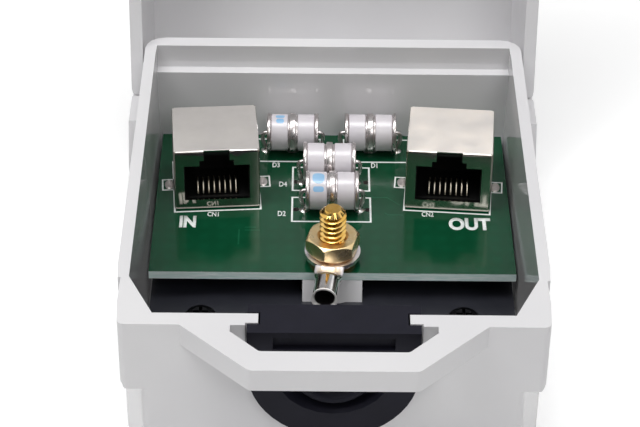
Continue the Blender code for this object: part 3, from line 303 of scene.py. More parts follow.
# Lit and shaded copies of one nickel sheet: painted shade on the fronts, painted light on the tops, the out
# jack's painted lighter.
front_nickel_painted_shade = metal("nickel_front_painted_shade", "#A9A39B", "#BDB7AE", 0.07, 0.13, 5.0, 1.0, 0.002)
top_nickel_painted_light = metal("nickel_top_painted_light", "#DCD8D3", "#E8E4E0", 0.42, 0.5, 5.0, 0.5, 0.002)
top_nickel_painted_brighter = metal("nickel_top_painted_brighter_light", "#FBF4EC", "#FFFAF4", 0.43, 0.56, 5.0, 0.5, 0.002)
front_nickel_painted_lighter = metal("nickel_front_painted_lighter_shade", "#C9C4B8", "#D8D3C8", 0.18, 0.26, 5.0, 1.0, 0.002)
tinned_steel = metal("tinned_electrode", "#C6BEBD", "#DEDAD9", 0.24, 0.32, 2.5, 1.2, 0.0004)
tinned_copper = metal("tinned_copper_lug", "#DCD9D7", "#F2F1F0", 0.1, 0.18, 2.0, 0.8, 0.006)
# The lug's bore is painted shade, and its lip and its neck's top are painted highlights.
bore_painted_shade = metal("tinned_bore_painted_shade", "#4A4648", "#6A6668", 0.4, 0.5, 1.0, 0.4, 0.01)
neck_painted_highlight = metal("tinned_neck_painted_highlight", "#E9E4EA", "#F8F5F9", 0.32, 0.42, 1.5, 0.6, 0.006)
lip_painted_highlight = metal("lug_lip_painted_highlight", "#F0EEEC", "#FBFAF9", 0.75, 0.85, 1.0, 0.4, 0.002)
solder = metal("tin_solder", "#D0CDCA", "#F2F1EF", 0.12, 0.22, 0.8, 0.25, 0.01)
dull_solder = metal("dull_tin_solder", "#C4BDBA", "#D8D2CF", 0.4, 0.55, 0.8, 0.25, 0.01)
turned_brass = metal("turned_brass", "#DFAE50", "#EFC97C", 0.14, 0.2, 2.0, 0.4, 0.001, (0.2, 0.2, 1))
pale_brass = metal("pale_turned_brass", "#E6C890", "#F3DDB0", 0.24, 0.34, 2.5, 0.4, 0.002)
warm_brass = metal("brass_washer_warm", "#D08F4C", "#E8AE6C", 0.18, 0.3, 2.0, 0.5, 0.004)
gold_plate = metal("gold_plated_contact", "#E9DCC4", "#F6EDDC", 0.3, 0.4, 0.8, 0.2, 0.001)
black_steel = metal("blackened_steel_screw", "#1E1E20", "#2A2A2D", 0.35, 0.5, 1.5, 0.3, 0.004)
print("mixed 16 metals")

# %% [markdown]
# ## Ceramic
# The insulating rings of a gas tube are alumina, nearly white with a faint violet cast, and
# ground smooth but not glazed. Some carry a patch of pale blue ink from the factory.

# %% Alumina and blue ink
def ceramic(name, deep, pale):
    return finish(name, {"IOR": 1.76}, {"cloud": (4.0, 2.0), "patch": (3.0, 2.0), "grain": (1.2, 2.0)},
                  (deep, pale), (0.28, 0.34), 0.0006)


alumina = ceramic("white_alumina", "#D4CFD5", "#DBD6DA")
blue_ink = ceramic("pale_blue_ink", "#86B7DE", "#9CC5E4")
print("mixed", alumina.name, blue_ink.name)

# %% [markdown]
# ## Working on one piece at a time
# An operator in Blender acts on whatever is selected, and the loaded CAD is selected at the
# start. So a piece is picked alone before each step. A copy of a CAD node has loose triangles,
# so its doubles are merged and its flat areas joined before a Bevel modifier rounds the edges
# the way a mould rounds them, and a Weighted Normal modifier keeps the flats flat.

# %% Helpers for pieces
FACING = 0.9  # the share of a normal along an axis, from which a face looks that way


def pick(*pieces):
    """Selects these objects alone, or none, and makes the first the active one."""
    bpy.ops.object.select_all(action="DESELECT")
    for piece in pieces:
        piece.select_set(True)
    if pieces:
        bpy.context.view_layer.objects.active = pieces[0]


def edit_parts(piece, kind, wanted):
    """Enters edit mode with only the vertices, edges or faces selected that pass a test."""
    pick(piece)
    bpy.ops.object.mode_set(mode="EDIT")
    bpy.ops.mesh.select_mode(type=kind)
    bpy.ops.mesh.select_all(action="DESELECT")
    mesh = bmesh.from_edit_mesh(piece.data)
    for part in {"VERT": mesh.verts, "EDGE": mesh.edges, "FACE": mesh.faces}[kind]:
        part.select_set(wanted(part))
    bmesh.update_edit_mesh(piece.data)


def edit_faces(piece, wanted):
    """Enters edit mode with the faces selected whose middle and normal pass a test."""
    edit_parts(piece, "FACE", lambda face: wanted(face.calc_center_median(), face.normal))


def everywhere(middle, normal):
    return True


def facing(along, side=1):
    """The test for a face that looks along an axis, or against it where side is -1."""
    axis = "XYZ".index(along)
    return lambda middle, normal: normal[axis] * side > FACING


def leave_edit():
    bpy.ops.object.mode_set(mode="OBJECT")


def apply_modifier(piece, kind, **options):
    """Adds a modifier with its options and applies it at once."""
    pick(piece)
    modifier = piece.modifiers.new(kind.title(), kind)
    for name, value in options.items():
        setattr(modifier, name, value)
    bpy.ops.object.modifier_apply(modifier=modifier.name)


def copy_node(node, name):
    """A copy of a CAD node's mesh with its triangles joined up."""
    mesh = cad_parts[node].data.copy()
    piece = new_object(name, mesh)
    edit_faces(piece, everywhere)
    bpy.ops.mesh.remove_doubles(threshold=0.0005 * MM)
    bpy.ops.mesh.dissolve_limited(angle_limit=math.radians(0.5))
    leave_edit()
    mesh.materials.clear()
    return piece


def smooth(piece, angle=35):
    """Smooths the shading, but keeps edges sharper than an angle."""
    pick(piece)
    bpy.ops.object.shade_smooth_by_angle(angle=math.radians(angle))
    return piece


def soften(piece, width_mm, segments=2, sharper_than=30):
    """Rounds every edge sharper than an angle and smooths the shading between."""
    apply_modifier(piece, "BEVEL", width=width_mm * MM, segments=segments, limit_method="ANGLE",
                   angle_limit=math.radians(sharper_than))
    smooth(piece)
    apply_modifier(piece, "WEIGHTED_NORMAL", keep_sharp=True)


def dress(piece, material, body="base", nodes=()):
    """Gives a piece its material and tells the frame what it rides on and replaces."""
    piece.data.materials.append(material)
    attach(piece, body)
    if nodes:
        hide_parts(*nodes)


def paint(piece, material, wanted):
    """Gives the faces that pass a test a material of their own."""
    piece.data.materials.append(material)
    edit_faces(piece, wanted)
    piece.active_material_index = len(piece.data.materials) - 1
    bpy.ops.object.material_slot_assign()
    leave_edit()


def report(piece):
    print(piece.name, "has", len(piece.data.polygons), "faces")


print("loaded nodes:", len(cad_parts))

# %% [markdown]
# ## Modelling by hand
# The small parts are built as at the screen: a primitive is added at its size and place, its
# faces are picked by where they lie, and they are extruded, inset, scaled or bevelled. The
# helpers only save words. Every cut names a threshold, because Blender's own is a tenth of a
# millimetre, which is coarse for parts this small.

# %% Helpers for modelling by hand
FINE = 1e-8


def start_piece(adder, name, **options):
    """Adds one primitive with nothing else selected."""
    pick()
    adder(**options)
    piece = bpy.context.active_object
    piece.name = name
    piece.data.name = name
    bpy.ops.object.transform_apply()
    return piece


def round_bar(name, radius, length, middle=(0, 0, 0), along="Z", steps=48):
    """A cylinder with its middle at a point in millimetres, along an axis."""
    turn = {"X": (0, math.radians(90), 0), "Y": (math.radians(90), 0, 0), "Z": (0, 0, 0)}[along]
    return start_piece(bpy.ops.mesh.primitive_cylinder_add, name, vertices=steps, radius=radius * MM,
                       depth=length * MM, location=metres(middle), rotation=turn)


def block(name, size, middle):
    """A box of a size at a point, both in millimetres."""
    piece = start_piece(bpy.ops.mesh.primitive_cube_add, name, size=MM, location=metres(middle))
    edit_faces(piece, everywhere)
    bpy.ops.transform.resize(value=size, center_override=metres(middle))
    leave_edit()
    return piece


def start_line(name, spot):
    """One vertex at a point in millimetres, left in edit mode so that it can be extruded."""
    piece = start_piece(bpy.ops.mesh.primitive_plane_add, name, size=MM, location=metres(spot))
    edit_parts(piece, "VERT", lambda vertex: True)
    bpy.ops.mesh.merge(type="CENTER")
    return piece


def pull(move, scale=None, middle=(0, 0, 0)):
    """Extrudes the selected faces by a move in millimetres, then scales them about a point."""
    bpy.ops.mesh.extrude_region_move(TRANSFORM_OT_translate={"value": metres(move)})
    if scale:
        bpy.ops.transform.resize(value=scale, center_override=metres(middle))


def discard(*models):
    """Removes what was only needed to cut or to copy."""
    for model in models:
        bpy.data.objects.remove(model, do_unlink=True)


def unite(piece, tool, operation="UNION"):
    """Joins a second solid to a piece, or cuts with it, with a Boolean modifier."""
    apply_modifier(piece, "BOOLEAN", object=tool, operation=operation, solver="EXACT")
    discard(tool)


def settle(piece, move=(0, 0, 0), turn=0.0, tilt=0.0):
    """Tilts a piece about X and turns it about Z, in degrees, and moves it, all in its mesh."""
    piece.rotation_euler = (math.radians(tilt), 0, math.radians(turn))
    piece.location = metres(move)
    pick(piece)
    bpy.ops.object.transform_apply()
    return piece


def twin(piece, name, move=(0, 0, 0), turn=0.0):
    """A copy with a mesh of its own, turned about Z and moved by millimetres."""
    return settle(new_object(name, piece.data.copy()), move, turn)


def weld(pieces, name):
    """Joins several objects into one."""
    pick(*pieces)
    bpy.ops.object.join()
    pieces[0].name = name
    pieces[0].data.name = name
    return pieces[0]


def hollow(bar, along, wall):
    """Makes a bar a tube: its ends are inset by the wall and bridged."""
    axis = "XYZ".index(along)
    edit_faces(bar, lambda middle, normal: abs(normal[axis]) > FACING)
    bpy.ops.mesh.inset(thickness=wall * MM)
    bpy.ops.mesh.bridge_edge_loops()
    leave_edit()


def bent_wire(points, radius, order, rounds, steps):
    """A round wire along a curve through points in millimetres, made a mesh."""
    pick()
    bpy.ops.curve.primitive_nurbs_path_add()
    curve = bpy.context.active_object.data
    spline = curve.splines[0]
    spline.points.add(len(points) - len(spline.points))
    for point, spot in zip(spline.points, points):
        point.co = (*metres(spot), 1)
    spline.order_u = order
    spline.use_endpoint_u = True
    curve.bevel_depth = radius * MM
    curve.bevel_resolution = rounds
    curve.resolution_u = steps
    curve.use_fill_caps = True
    bpy.ops.object.convert(target="MESH")
    wire = bpy.context.active_object
    edit_faces(wire, everywhere)
    bpy.ops.mesh.remove_doubles(threshold=0.001 * MM)
    bpy.ops.mesh.normals_make_consistent()
    leave_edit()
    return smooth(wire, 60)


print("modelling helpers ready")

# %% [markdown]
# ## The housing
# The housing is one deep moulding: a tapered box with a thicker collar round its rim, a loop
# that guards the cable entry, hinge ears, and a ledge along the far wall. It could be rebuilt
# from a cube, but the CAD already holds its form, so the copy only gets the small edge radii.
# The boss under the ground screw gets a straight front that slopes down to the plate. The
# polished finish goes on the faces inside the box, picked by where they lie.

# %% Housing
housing_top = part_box("housing")[1].z / MM
HALF_LENGTH = 43.6
SIDE_WALL = 4.4
NEAR_WALL = 2.9
FAR_WALL = 2.8
FLOOR = 2.0
RIM = 0.45


def inside_box(middle, normal):
    """True for a face of the cavity: between the walls, under the rim and not on the outside."""
    x, y, z = middle / MM
    return (abs(x) < cad_high.x / MM - SIDE_WALL and NEAR_WALL - HALF_LENGTH < y < HALF_LENGTH - FAR_WALL
            and FLOOR < z < housing_top - RIM)


housing = copy_node("housing", "housing_moulding")
soften(housing, 0.3)
BOSS_SIZE = (10.9, 3.84, 4.75)
BOSS_MIDDLE = (0, -4.12, 7.375)
BOSS_SLOPE = 1.85
boss = block("boss_front", BOSS_SIZE, BOSS_MIDDLE)
edit_parts(boss, "VERT", lambda v: v.co.y < BOSS_MIDDLE[1] * MM and v.co.z < BOSS_MIDDLE[2] * MM)
bpy.ops.transform.translate(value=(0, -BOSS_SLOPE * MM, 0))
leave_edit()
soften(boss, 0.2)
weld([housing, boss], "housing_moulding")
dress(housing, satin_abs, nodes=["housing"])
paint(housing, polished_abs, inside_box)
report(housing)

# %% [markdown]
# ## The lid
# The lid is a deep moulding with skirts that turns on two pins behind the box. It rides on its
# own body, so it turns with its joint and nothing is posed here. Its copy is softened like the
# housing.

# %% Lid
lid = copy_node("lid", "lid_moulding")
soften(lid, 0.3)
dress(lid, satin_abs, body="lid", nodes=["lid"])
report(lid)

# %% [markdown]
# ## The cable entry
# The grommet is soft black PVC and slides down into the slot in the near wall. Its CAD copy
# gets rounded edges. Two round ejector marks in the shallow recess of its face, which show
# through the guard loop, are thin discs whose rim is inset.

# %% Cable entry
entry = copy_node("cable_entry_insert", "cable_entry_grommet")
entry_low, entry_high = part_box("cable_entry_insert")
FACE_RECESS = 0.9
recess_floor = entry_low.y / MM + FACE_RECESS
soften(entry, 0.25)
marks = []
MARK_X = 8.2
MARK_RADIUS = 1.15
MARK_BELOW_TOP = 2.3
mark_z = entry_high.z / MM - MARK_BELOW_TOP
for x in (-MARK_X, MARK_X):
    mark = round_bar("ejector_mark", MARK_RADIUS, 0.3, (x, recess_floor + 0.08, mark_z), "Y", 32)
    edit_faces(mark, facing("Y", -1))
    bpy.ops.mesh.inset(thickness=0.2 * MM)
    pull((0, 0.05, 0))
    leave_edit()
    marks.append(mark)
weld([entry, *marks], "cable_entry_grommet")
dress(entry, soft_pvc, nodes=["cable_entry_insert"])
report(entry)

# %% [markdown]
# ## Inner plate and its screws
# A black plate covers the floor of the box under the board. The CAD shapes are right as they
# are, so they only get their finish.

# %% Inner plate
def refinish(node, material):
    """Gives a CAD node that stays a better material."""
    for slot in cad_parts[node].material_slots:
        slot.material = material


refinish("base_plate", black_abs)
for node in ("base_screw_left", "base_screw_right"):
    refinish(node, black_steel)
print("refinished the inner plate")

# %% [markdown]
# ## The bare board
# The laminate is sawn from a panel, so its faces are green, its edges show the bare cloth, and
# the walls of its plated holes are tinned. The side faces are picked by normal and place.

# %% Circuit board
board_low, board_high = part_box("circuit_board")
BOARD_TOP = board_high.z / MM
board = copy_node("circuit_board", "circuit_board_laminate")
dress(board, mask_over_laminate, nodes=["circuit_board"])


def sawn(middle, normal):
    """True for a face of the board's outline, and not for the wall of a drilled hole."""
    beyond = (abs(middle.x) - board_high.x, middle.y - board_high.y, board_low.y - middle.y)
    return abs(normal.z) < 0.5 and max(beyond) > -2.0 * MM


# The sawn faces get the edge colour with its painted light.
paint(board, board_edge_painted_light, sawn)
paint(board, dull_solder, lambda middle, normal: abs(normal.z) < 0.5 and not sawn(middle, normal))
report(board)

# %% [markdown]
# ## The printed legend
# White ink marks where each part goes: a frame round each tube and each jack, and a short name
# beside it. The ink stands 0.03 mm above the mask. A frame is one plane at its outer size,
# inset by the line's width, with its middle deleted and a Solidify modifier for its height.

# %% Legend frames
INK = 0.03
LINE = 0.34


def ink_frame(x, y, line=LINE):
    """A rectangular outline on the board between pairs of limits in millimetres."""
    middle = ((x[0] + x[1]) / 2 * MM, (y[0] + y[1]) / 2 * MM, BOARD_TOP * MM)
    piece = start_piece(bpy.ops.mesh.primitive_plane_add, "legend_frame", size=MM, location=middle)
    edit_faces(piece, everywhere)
    bpy.ops.transform.resize(value=(x[1] - x[0], y[1] - y[0], 1), center_override=middle)
    bpy.ops.mesh.inset(thickness=line * MM)
    bpy.ops.mesh.delete(type="FACE")
    leave_edit()
    apply_modifier(piece, "SOLIDIFY", thickness=INK * MM, offset=1.0)
    return piece


frames = [
    ink_frame((-7.7, 7.2), (19.0, 26.9)),
    ink_frame((-7.7, 7.3), (9.2, 17.1)),
    ink_frame((-17.1, -2.1), (28.5, 36.4)),
    ink_frame((2.1, 17.1), (28.5, 36.4)),
]
JACK_PLACES = {"in_jack": ((-21.45, 13.15, 0), 4.4), "out_jack": ((21.45, 13.15, 0), -4.4)}
for place, toe in JACK_PLACES.values():
    outline = [ink_frame((-8.2, 8.2), (-0.75, 15.9))]
    outline += [ink_frame(tab, (6.4, 10.0), 0.28) for tab in ((-10.3, -8.0), (8.0, 10.3))]
    frames += [settle(piece, place, toe) for piece in outline]
dress(weld(frames, "legend_frames"), white_ink)
print("legend frames:", len(frames))

# %% [markdown]
# ## The printed words
# The words are text objects in Blender's own typeface, given a little weight with the curve's
# offset, turned into meshes and fitted to the rectangle that the printing takes. Only words
# that name a socket or number a part are printed.

# %% Legend words
def ink_word(text, x, y, weight=0.02):
    """A word fitted between limits on the board."""
    pick()
    bpy.ops.object.text_add(location=(0, 0, 0))
    piece = bpy.context.active_object
    piece.data.body = text
    piece.data.offset = weight
    piece.data.resolution_u = 4
    bpy.ops.object.convert(target="MESH")
    piece = bpy.context.active_object
    spots = [v.co for v in piece.data.vertices]
    low = Vector((min(v.x for v in spots), min(v.y for v in spots)))
    high = Vector((max(v.x for v in spots), max(v.y for v in spots)))
    wide = (x[1] - x[0]) * MM / (high.x - low.x)
    tall = (y[1] - y[0]) * MM / (high.y - low.y)
    piece.scale = (wide, tall, MM)
    piece.location = (x[0] * MM - low.x * wide, y[0] * MM - low.y * tall, BOARD_TOP * MM)
    bpy.ops.object.transform_apply()
    apply_modifier(piece, "SOLIDIFY", thickness=INK * MM, offset=1.0)
    return piece


words = [
    ink_word("IN", (-28.4, -25.3), (7.2, 10.8), 0.05),
    ink_word("OUT", (21.6, 29.4), (7.1, 10.9), 0.045),
    ink_word("D3", (-11.5, -10.1), (26.7, 28.3)),
    ink_word("D1", (7.5, 8.7), (26.8, 28.4)),
    ink_word("D4", (-10.1, -8.6), (20.4, 22.0)),
    ink_word("D2", (-10.2, -8.7), (11.0, 12.6)),
    ink_word("CN1", (-23.3, -21.2), (10.7, 12.1)),
    ink_word("CN2", (16.7, 18.9), (11.2, 12.7)),
]
dress(weld(words, "legend_words"), white_ink)
print("printed words:", len(words))

# %% [markdown]
# ## Copper under the mask
# A few traces show on this side: each lifts the mask by the thickness of the foil. A trace is
# one vertex extruded from bend to bend, the line pulled sideways into a strip, and a Solidify
# modifier.

# %% Traces
FOIL = 0.035


def trace(points, width=(0, 0.3, 0)):
    """A strip of masked copper through points on the board."""
    piece = start_line("trace", (*points[0], BOARD_TOP))
    for here, there in zip(points, points[1:]):
        step = ((there[0] - here[0]) * MM, (there[1] - here[1]) * MM, 0)
        bpy.ops.mesh.extrude_vertices_move(TRANSFORM_OT_translate={"value": step})
    bpy.ops.mesh.select_all(action="SELECT")
    bpy.ops.mesh.extrude_edges_move(TRANSFORM_OT_translate={"value": metres(width)})
    bpy.ops.mesh.select_all(action="SELECT")
    bpy.ops.mesh.normals_make_consistent()
    leave_edit()
    apply_modifier(piece, "SOLIDIFY", thickness=FOIL * MM, offset=0.0)
    return piece


traces = [
    trace([(7.4, 17.0), (10.3, 17.0), (12.7, 14.6)]),
    trace([(9.8, 12.1), (10.4, 11.5), (13.2, 11.5)]),
    trace([(-16.2, 6.4), (-13.4, 6.4)]),
    trace([(-16.2, 7.3), (-14.1, 7.3)]),
    trace([(-17.4, 2.2), (-17.4, 6.8)], (0.3, 0, 0)),
]
dress(weld(traces, "masked_copper_traces"), mask_over_copper)
print("traces:", len(traces))

# %% [markdown]
# ## The jacks
# Each jack is a folded nickel-plated can over a black nylon body with eight gold contacts. The
# can's CAD copy gets its folded edges. The sheet scatters the lamp's light on the top, while
# the front mirrors the board, so the top has a slot of its own; its paler colour is a painted
# highlight and the front's darker colour a painted shade, both lighter on the out jack. The cut
# for the plug's latch runs through the folded top edge, so a block is taken out of the front.

# %% Jack cans and bodies
LATCH_SIZE = (4.8, 0.85, 1.4)
LATCH_MIDDLE = (0, -0.075, 24.0)
TOP_ABOVE = 22.0
# Each jack's painted lit top and painted shaded front.
jack_painted_light_and_shade = {"in_jack": (top_nickel_painted_light, front_nickel_painted_shade), "out_jack": (top_nickel_painted_brighter, front_nickel_painted_lighter)}
for jack, (painted_light_top, painted_shade_front) in jack_painted_light_and_shade.items():
    shield = copy_node(jack + "_shield", jack + "_shield_can")
    unite(shield, settle(block("latch_cut", LATCH_SIZE, LATCH_MIDDLE), *JACK_PLACES[jack]), "DIFFERENCE")
    soften(shield, 0.06)
    dress(shield, painted_shade_front, nodes=[jack + "_shield"])
    # The top takes the paler copy, a painted highlight.
    paint(shield, painted_light_top, lambda middle, normal: normal.z > FACING and middle.z > TOP_ABOVE * MM)
    refinish(jack + "_insulator", black_nylon)
print("jacks dressed")

# %% [markdown]
# ## The contacts
# Eight gold wires stand in a comb of grooves. Each rises from its groove just inside the mouth
# and leans back over a hump into the dark, so only its front catches the light. It is a curve
# through six points with a round bevel, turned into a mesh and copied at the pitch of the comb.

# %% Contact wires
CONTACT_PITCH = 1.016
CONTACT_RADIUS = 0.16
wire_points = [
    (0, 1.7, 13.9), (0, 1.75, 14.4), (0, 2.9, 15.6), (0, 3.4, 15.8), (0, 5.0, 14.8), (0, 7.0, 13.9)]
wire = bent_wire(wire_points, CONTACT_RADIUS, order=3, rounds=2, steps=5)
for jack, (place, toe) in JACK_PLACES.items():
    for i in range(8):
        contact = twin(wire, f"{jack}_wire_{i + 1}", ((i - 3.5) * CONTACT_PITCH, 0, 0))
        settle(contact, place, toe)
        dress(contact, gold_plate, nodes=[f"{jack}_contact_{i + 1}"])
discard(wire)
print("contact wires:", 16)

# %% [markdown]
# ## The tabs' solder
# The can is held by tabs that pass through plated slots beside it. The solder round each tab is
# a low oval mound: a cylinder scaled to an oval, with its top face inset, raised twice and
# dented for the tab.

# %% Tab pads
TAB_X = 8.9
TAB_Y = 8.2
mound = round_bar("tab_pad", 0.5, 0.08, (0, 0, BOARD_TOP + 0.03), steps=32)
edit_faces(mound, everywhere)
bpy.ops.transform.resize(value=(1.7, 2.9, 1), center_override=(0, 0, BOARD_TOP * MM))
leave_edit()
edit_faces(mound, facing("Z"))
bpy.ops.mesh.inset(thickness=0.1 * MM, depth=0.04 * MM)
bpy.ops.mesh.inset(thickness=0.25 * MM, depth=0.1 * MM)
bpy.ops.mesh.inset(thickness=0.2 * MM, depth=-0.05 * MM)
leave_edit()
smooth(mound, 60)
pads = []
for place, toe in JACK_PLACES.values():
    for edge in (-TAB_X, TAB_X):
        pads.append(settle(twin(mound, "tab_pad_copy", (edge, TAB_Y, 0)), place, toe))
discard(mound)
dress(weld(pads, "jack_tab_solder"), dull_solder)
print("tab pads:", len(pads))

# %% [markdown]
# ## Gas tubes
# A three-electrode gas tube is a stack: end cap, ceramic ring, middle electrode, ceramic ring,
# end cap, brazed together. A ring is a cylinder whose two ends are inset and bridged into a
# tube, with its ground edges rounded by a Bevel modifier.

# %% Ceramic ring
CERAMIC_RADIUS = 3.52
CERAMIC_WALL = 1.28
CERAMIC = 3.15
RING_MIDDLE = 0.97 + CERAMIC / 2
ring_model = round_bar("ceramic_ring", CERAMIC_RADIUS, CERAMIC, along="X", steps=64)
hollow(ring_model, "X", CERAMIC_WALL)
soften(ring_model, 0.16, segments=3, sharper_than=60)
report(ring_model)

# %% [markdown]
# ## Electrodes
# The middle electrode is a flanged copper band. Between it and each ceramic lies a narrow neck
# of braze, which shows as a dark line, so the disc is pulled out of a narrower neck and back.
# Its lead comes straight down.

# %% Middle electrode
BAND_RADIUS = 3.72
NECK_RADIUS = 3.3
LEAD_END = 7.8
LEAD_START = 3.0
MIDDLE_LEAD = 0.62
HALF_BAND = 0.6
BRAZE = 0.4
FLARE = 0.02
grow = BAND_RADIUS / NECK_RADIUS
centre_model = round_bar("middle_electrode", NECK_RADIUS, BRAZE, (-HALF_BAND - BRAZE / 2, 0, 0), "X", 64)
edit_faces(centre_model, facing("X"))
pull((FLARE, 0, 0), (1, grow, grow), (-HALF_BAND, 0, 0))
pull((2 * (HALF_BAND - FLARE), 0, 0))
pull((FLARE, 0, 0), (1, 1 / grow, 1 / grow), (HALF_BAND, 0, 0))
pull((BRAZE, 0, 0))
leave_edit()
soften(centre_model, 0.14, segments=3, sharper_than=60)
lead = round_bar("lead", MIDDLE_LEAD, LEAD_END - LEAD_START, (0, 0, -(LEAD_END + LEAD_START) / 2), steps=16)
centre_model = smooth(weld([centre_model, smooth(lead)], "middle_electrode"), 40)
report(centre_model)

# %% [markdown]
# ## End electrode
# An end cap is pulled out of a narrower neck, and its outer face is inset and pushed in, as the
# stamping is. Its lead bends over the cap's edge and down to the board, so it is a bent wire
# like the contacts.

# %% End electrode
CAP_START = 4.24
CAP_END = 4.95
FOOT = 5.15
END_LEAD = 0.4
cap_model = round_bar("end_cap", NECK_RADIUS, BRAZE, (CAP_START - FLARE - BRAZE / 2, 0, 0), "X", 64)
edit_faces(cap_model, facing("X"))
pull((FLARE, 0, 0), (1, grow, grow), (CAP_START, 0, 0))
pull((CAP_END - CAP_START, 0, 0))
bpy.ops.mesh.inset(thickness=1.4 * MM)
bpy.ops.mesh.inset(thickness=0.25 * MM, depth=-0.12 * MM)
leave_edit()
soften(cap_model, 0.26, segments=3, sharper_than=60)

lead_points = [
    (4.6, 0, 0), (5.25, 0, 0.05), (5.95, 0, -0.15), (5.85, 0, -2.4), (FOOT, 0, -3.6), (FOOT, 0, -LEAD_END)]
lead = bent_wire(lead_points, END_LEAD, order=4, rounds=3, steps=6)
cap_model = smooth(weld([cap_model, lead], "end_cap"), 40)
report(cap_model)

# %% [markdown]
# ## Four tubes
# The models are copied to the four places, with the caps turned round on the left. Each copy
# has its own mesh and replaces one CAD piece.

# %% Four tubes
TUBES = {"d1": (7.3, 32.65, 15.6), "d2": (-0.1, 13.15, 15.8),
         "d3": (-7.65, 32.65, 15.5), "d4": (-0.6, 21.95, 16.2)}
for label, (x, y, z) in TUBES.items():
    node = "gas_tube_" + label
    for end, side, turn in (("left", -1, 180), ("right", 1, 0)):
        ring = twin(ring_model, f"{node}_ring_{end}", (x + side * RING_MIDDLE, y, z))
        dress(ring, alumina, nodes=[f"{node}_ceramic_{end}"])
        cap = twin(cap_model, f"{node}_cap_{end}", (x, y, z), turn)
        dress(cap, tinned_steel, nodes=[f"{node}_end_{end}"])
    centre = twin(centre_model, node + "_middle", (x, y, z))
    dress(centre, tinned_steel, nodes=[node + "_centre"])
discard(ring_model, cap_model, centre_model)
print("tubes:", len(TUBES))

# %% [markdown]
# ## Solder at the leads
# Each lead is soldered in a plated hole. The solder climbs the wire, so it is a wide short cone
# whose top face is pulled up and narrowed three times. One is modelled and the rest are copies.

# %% Lead solder
MIDDLE_REACH = 0.35
fillet = start_piece(bpy.ops.mesh.primitive_cone_add, "lead_solder", vertices=24, radius1=1.0 * MM,
                     radius2=0.9 * MM, depth=0.08 * MM, location=(0, 0, (BOARD_TOP + 0.03) * MM))
edit_faces(fillet, facing("Z"))
for rise, narrow in ((0.12, 0.8), (0.25, 0.75), (0.35, 0.85)):
    pull((0, 0, rise), (narrow, narrow, 1))
leave_edit()
smooth(fillet, 60)
fillets = []
for x, y, z in TUBES.values():
    for reach in (-FOOT, -MIDDLE_REACH, MIDDLE_REACH, FOOT):
        fillets.append(twin(fillet, "lead_solder_copy", (x + reach, y, 0)))
discard(fillet)
dress(weld(fillets, "lead_solder_joints"), solder)
print("solder joints:", len(fillets))

# %% [markdown]
# ## Blue marks on two tubes
# Small blue shapes are printed on the ceramic, a hundredth of a millimetre proud of it: a thin
# tube is cut with a rounded block, and what both hold keeps its curve.

# %% Blue marks
PROUD = 0.012


def blue_mark(tube, offset, width, length, tilt):
    """A curved patch on a tube's left ring, tilted about its axis from straight up."""
    skin = round_bar("blue_mark", CERAMIC_RADIUS + PROUD, width + 1.0, along="X", steps=128)
    hollow(skin, "X", 0.05)
    stamp = block("stamp", (width, length, 2.4), (0, 0, CERAMIC_RADIUS))
    edit_parts(stamp, "EDGE", lambda edge: abs(edge.verts[0].co.z - edge.verts[1].co.z) > 0.5 * MM)
    bpy.ops.mesh.bevel(offset=min(width, length) * 0.42 * MM, segments=5, affect="EDGES")
    leave_edit()
    unite(skin, stamp, "INTERSECT")
    smooth(skin)
    x, y, z = TUBES[tube]
    return settle(skin, (x - RING_MIDDLE + offset, y, z), tilt=tilt)


marks = [
    blue_mark("d2", 0.0, 2.2, 2.6, 11),
    blue_mark("d2", 0.0, 2.0, 1.05, 50),
    blue_mark("d3", 0.1, 1.7, 1.0, -4),
    blue_mark("d3", 0.1, 1.5, 1.15, 17),
]
dress(weld(marks, "blue_tube_marks"), blue_ink)
print("blue marks:", len(marks))

# %% [markdown]
# ## The ground screw
# The terminal is a brass machine screw that points up through the board. A thread is a profile
# swept along a helix: one vertex is extruded into a 60 degree tooth and the Screw modifier
# turns it, one pitch per turn. The ends are cut flat and filled.

# %% Thread
STUD_Y = -2.2
PITCH = 1.058
CREST = 2.4
ROOT = 1.85
THREAD_START = 10.2
THREAD_TURNS = 14
CREST_FLAT = PITCH / 8
ROOT_FLAT = PITCH / 4
FLANK = (PITCH - CREST_FLAT - ROOT_FLAT) / 2
tooth = ((0, ROOT_FLAT), (CREST - ROOT, FLANK), (0, CREST_FLAT), (ROOT - CREST, FLANK))
screw_low, screw_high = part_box("ground_screw")
TIP = screw_high.z / MM

stud = start_line("ground_stud", (ROOT, 0, THREAD_START))
for out, rise in tooth:
    bpy.ops.mesh.extrude_vertices_move(TRANSFORM_OT_translate={"value": (out * MM, 0, rise * MM)})
leave_edit()
apply_modifier(stud, "SCREW", axis="Z", angle=math.tau, screw_offset=PITCH * MM, iterations=THREAD_TURNS,
               steps=48, render_steps=48, use_merge_vertices=True, merge_threshold=0.000001)
edit_faces(stud, everywhere)
bpy.ops.mesh.remove_doubles(threshold=0.002 * MM)
for cut_at, outward in ((BOARD_TOP + 0.9, -1), (TIP + 1.0, 1)):
    bpy.ops.mesh.select_all(action="SELECT")
    bpy.ops.mesh.bisect(plane_co=(0, 0, cut_at * MM), plane_no=(0, 0, outward), use_fill=True,
                        clear_outer=True, threshold=FINE)
bpy.ops.mesh.select_all(action="SELECT")
bpy.ops.mesh.normals_make_consistent()
leave_edit()
report(stud)

# %% [markdown]
# ## Tip, shank and head of the screw
# A turner faces the bar and cuts a chamfer before the thread is rolled. A blank with that
# chamfer, kept where it and the thread overlap, gives the same tip. The shank and the low head
# under the board join on below.

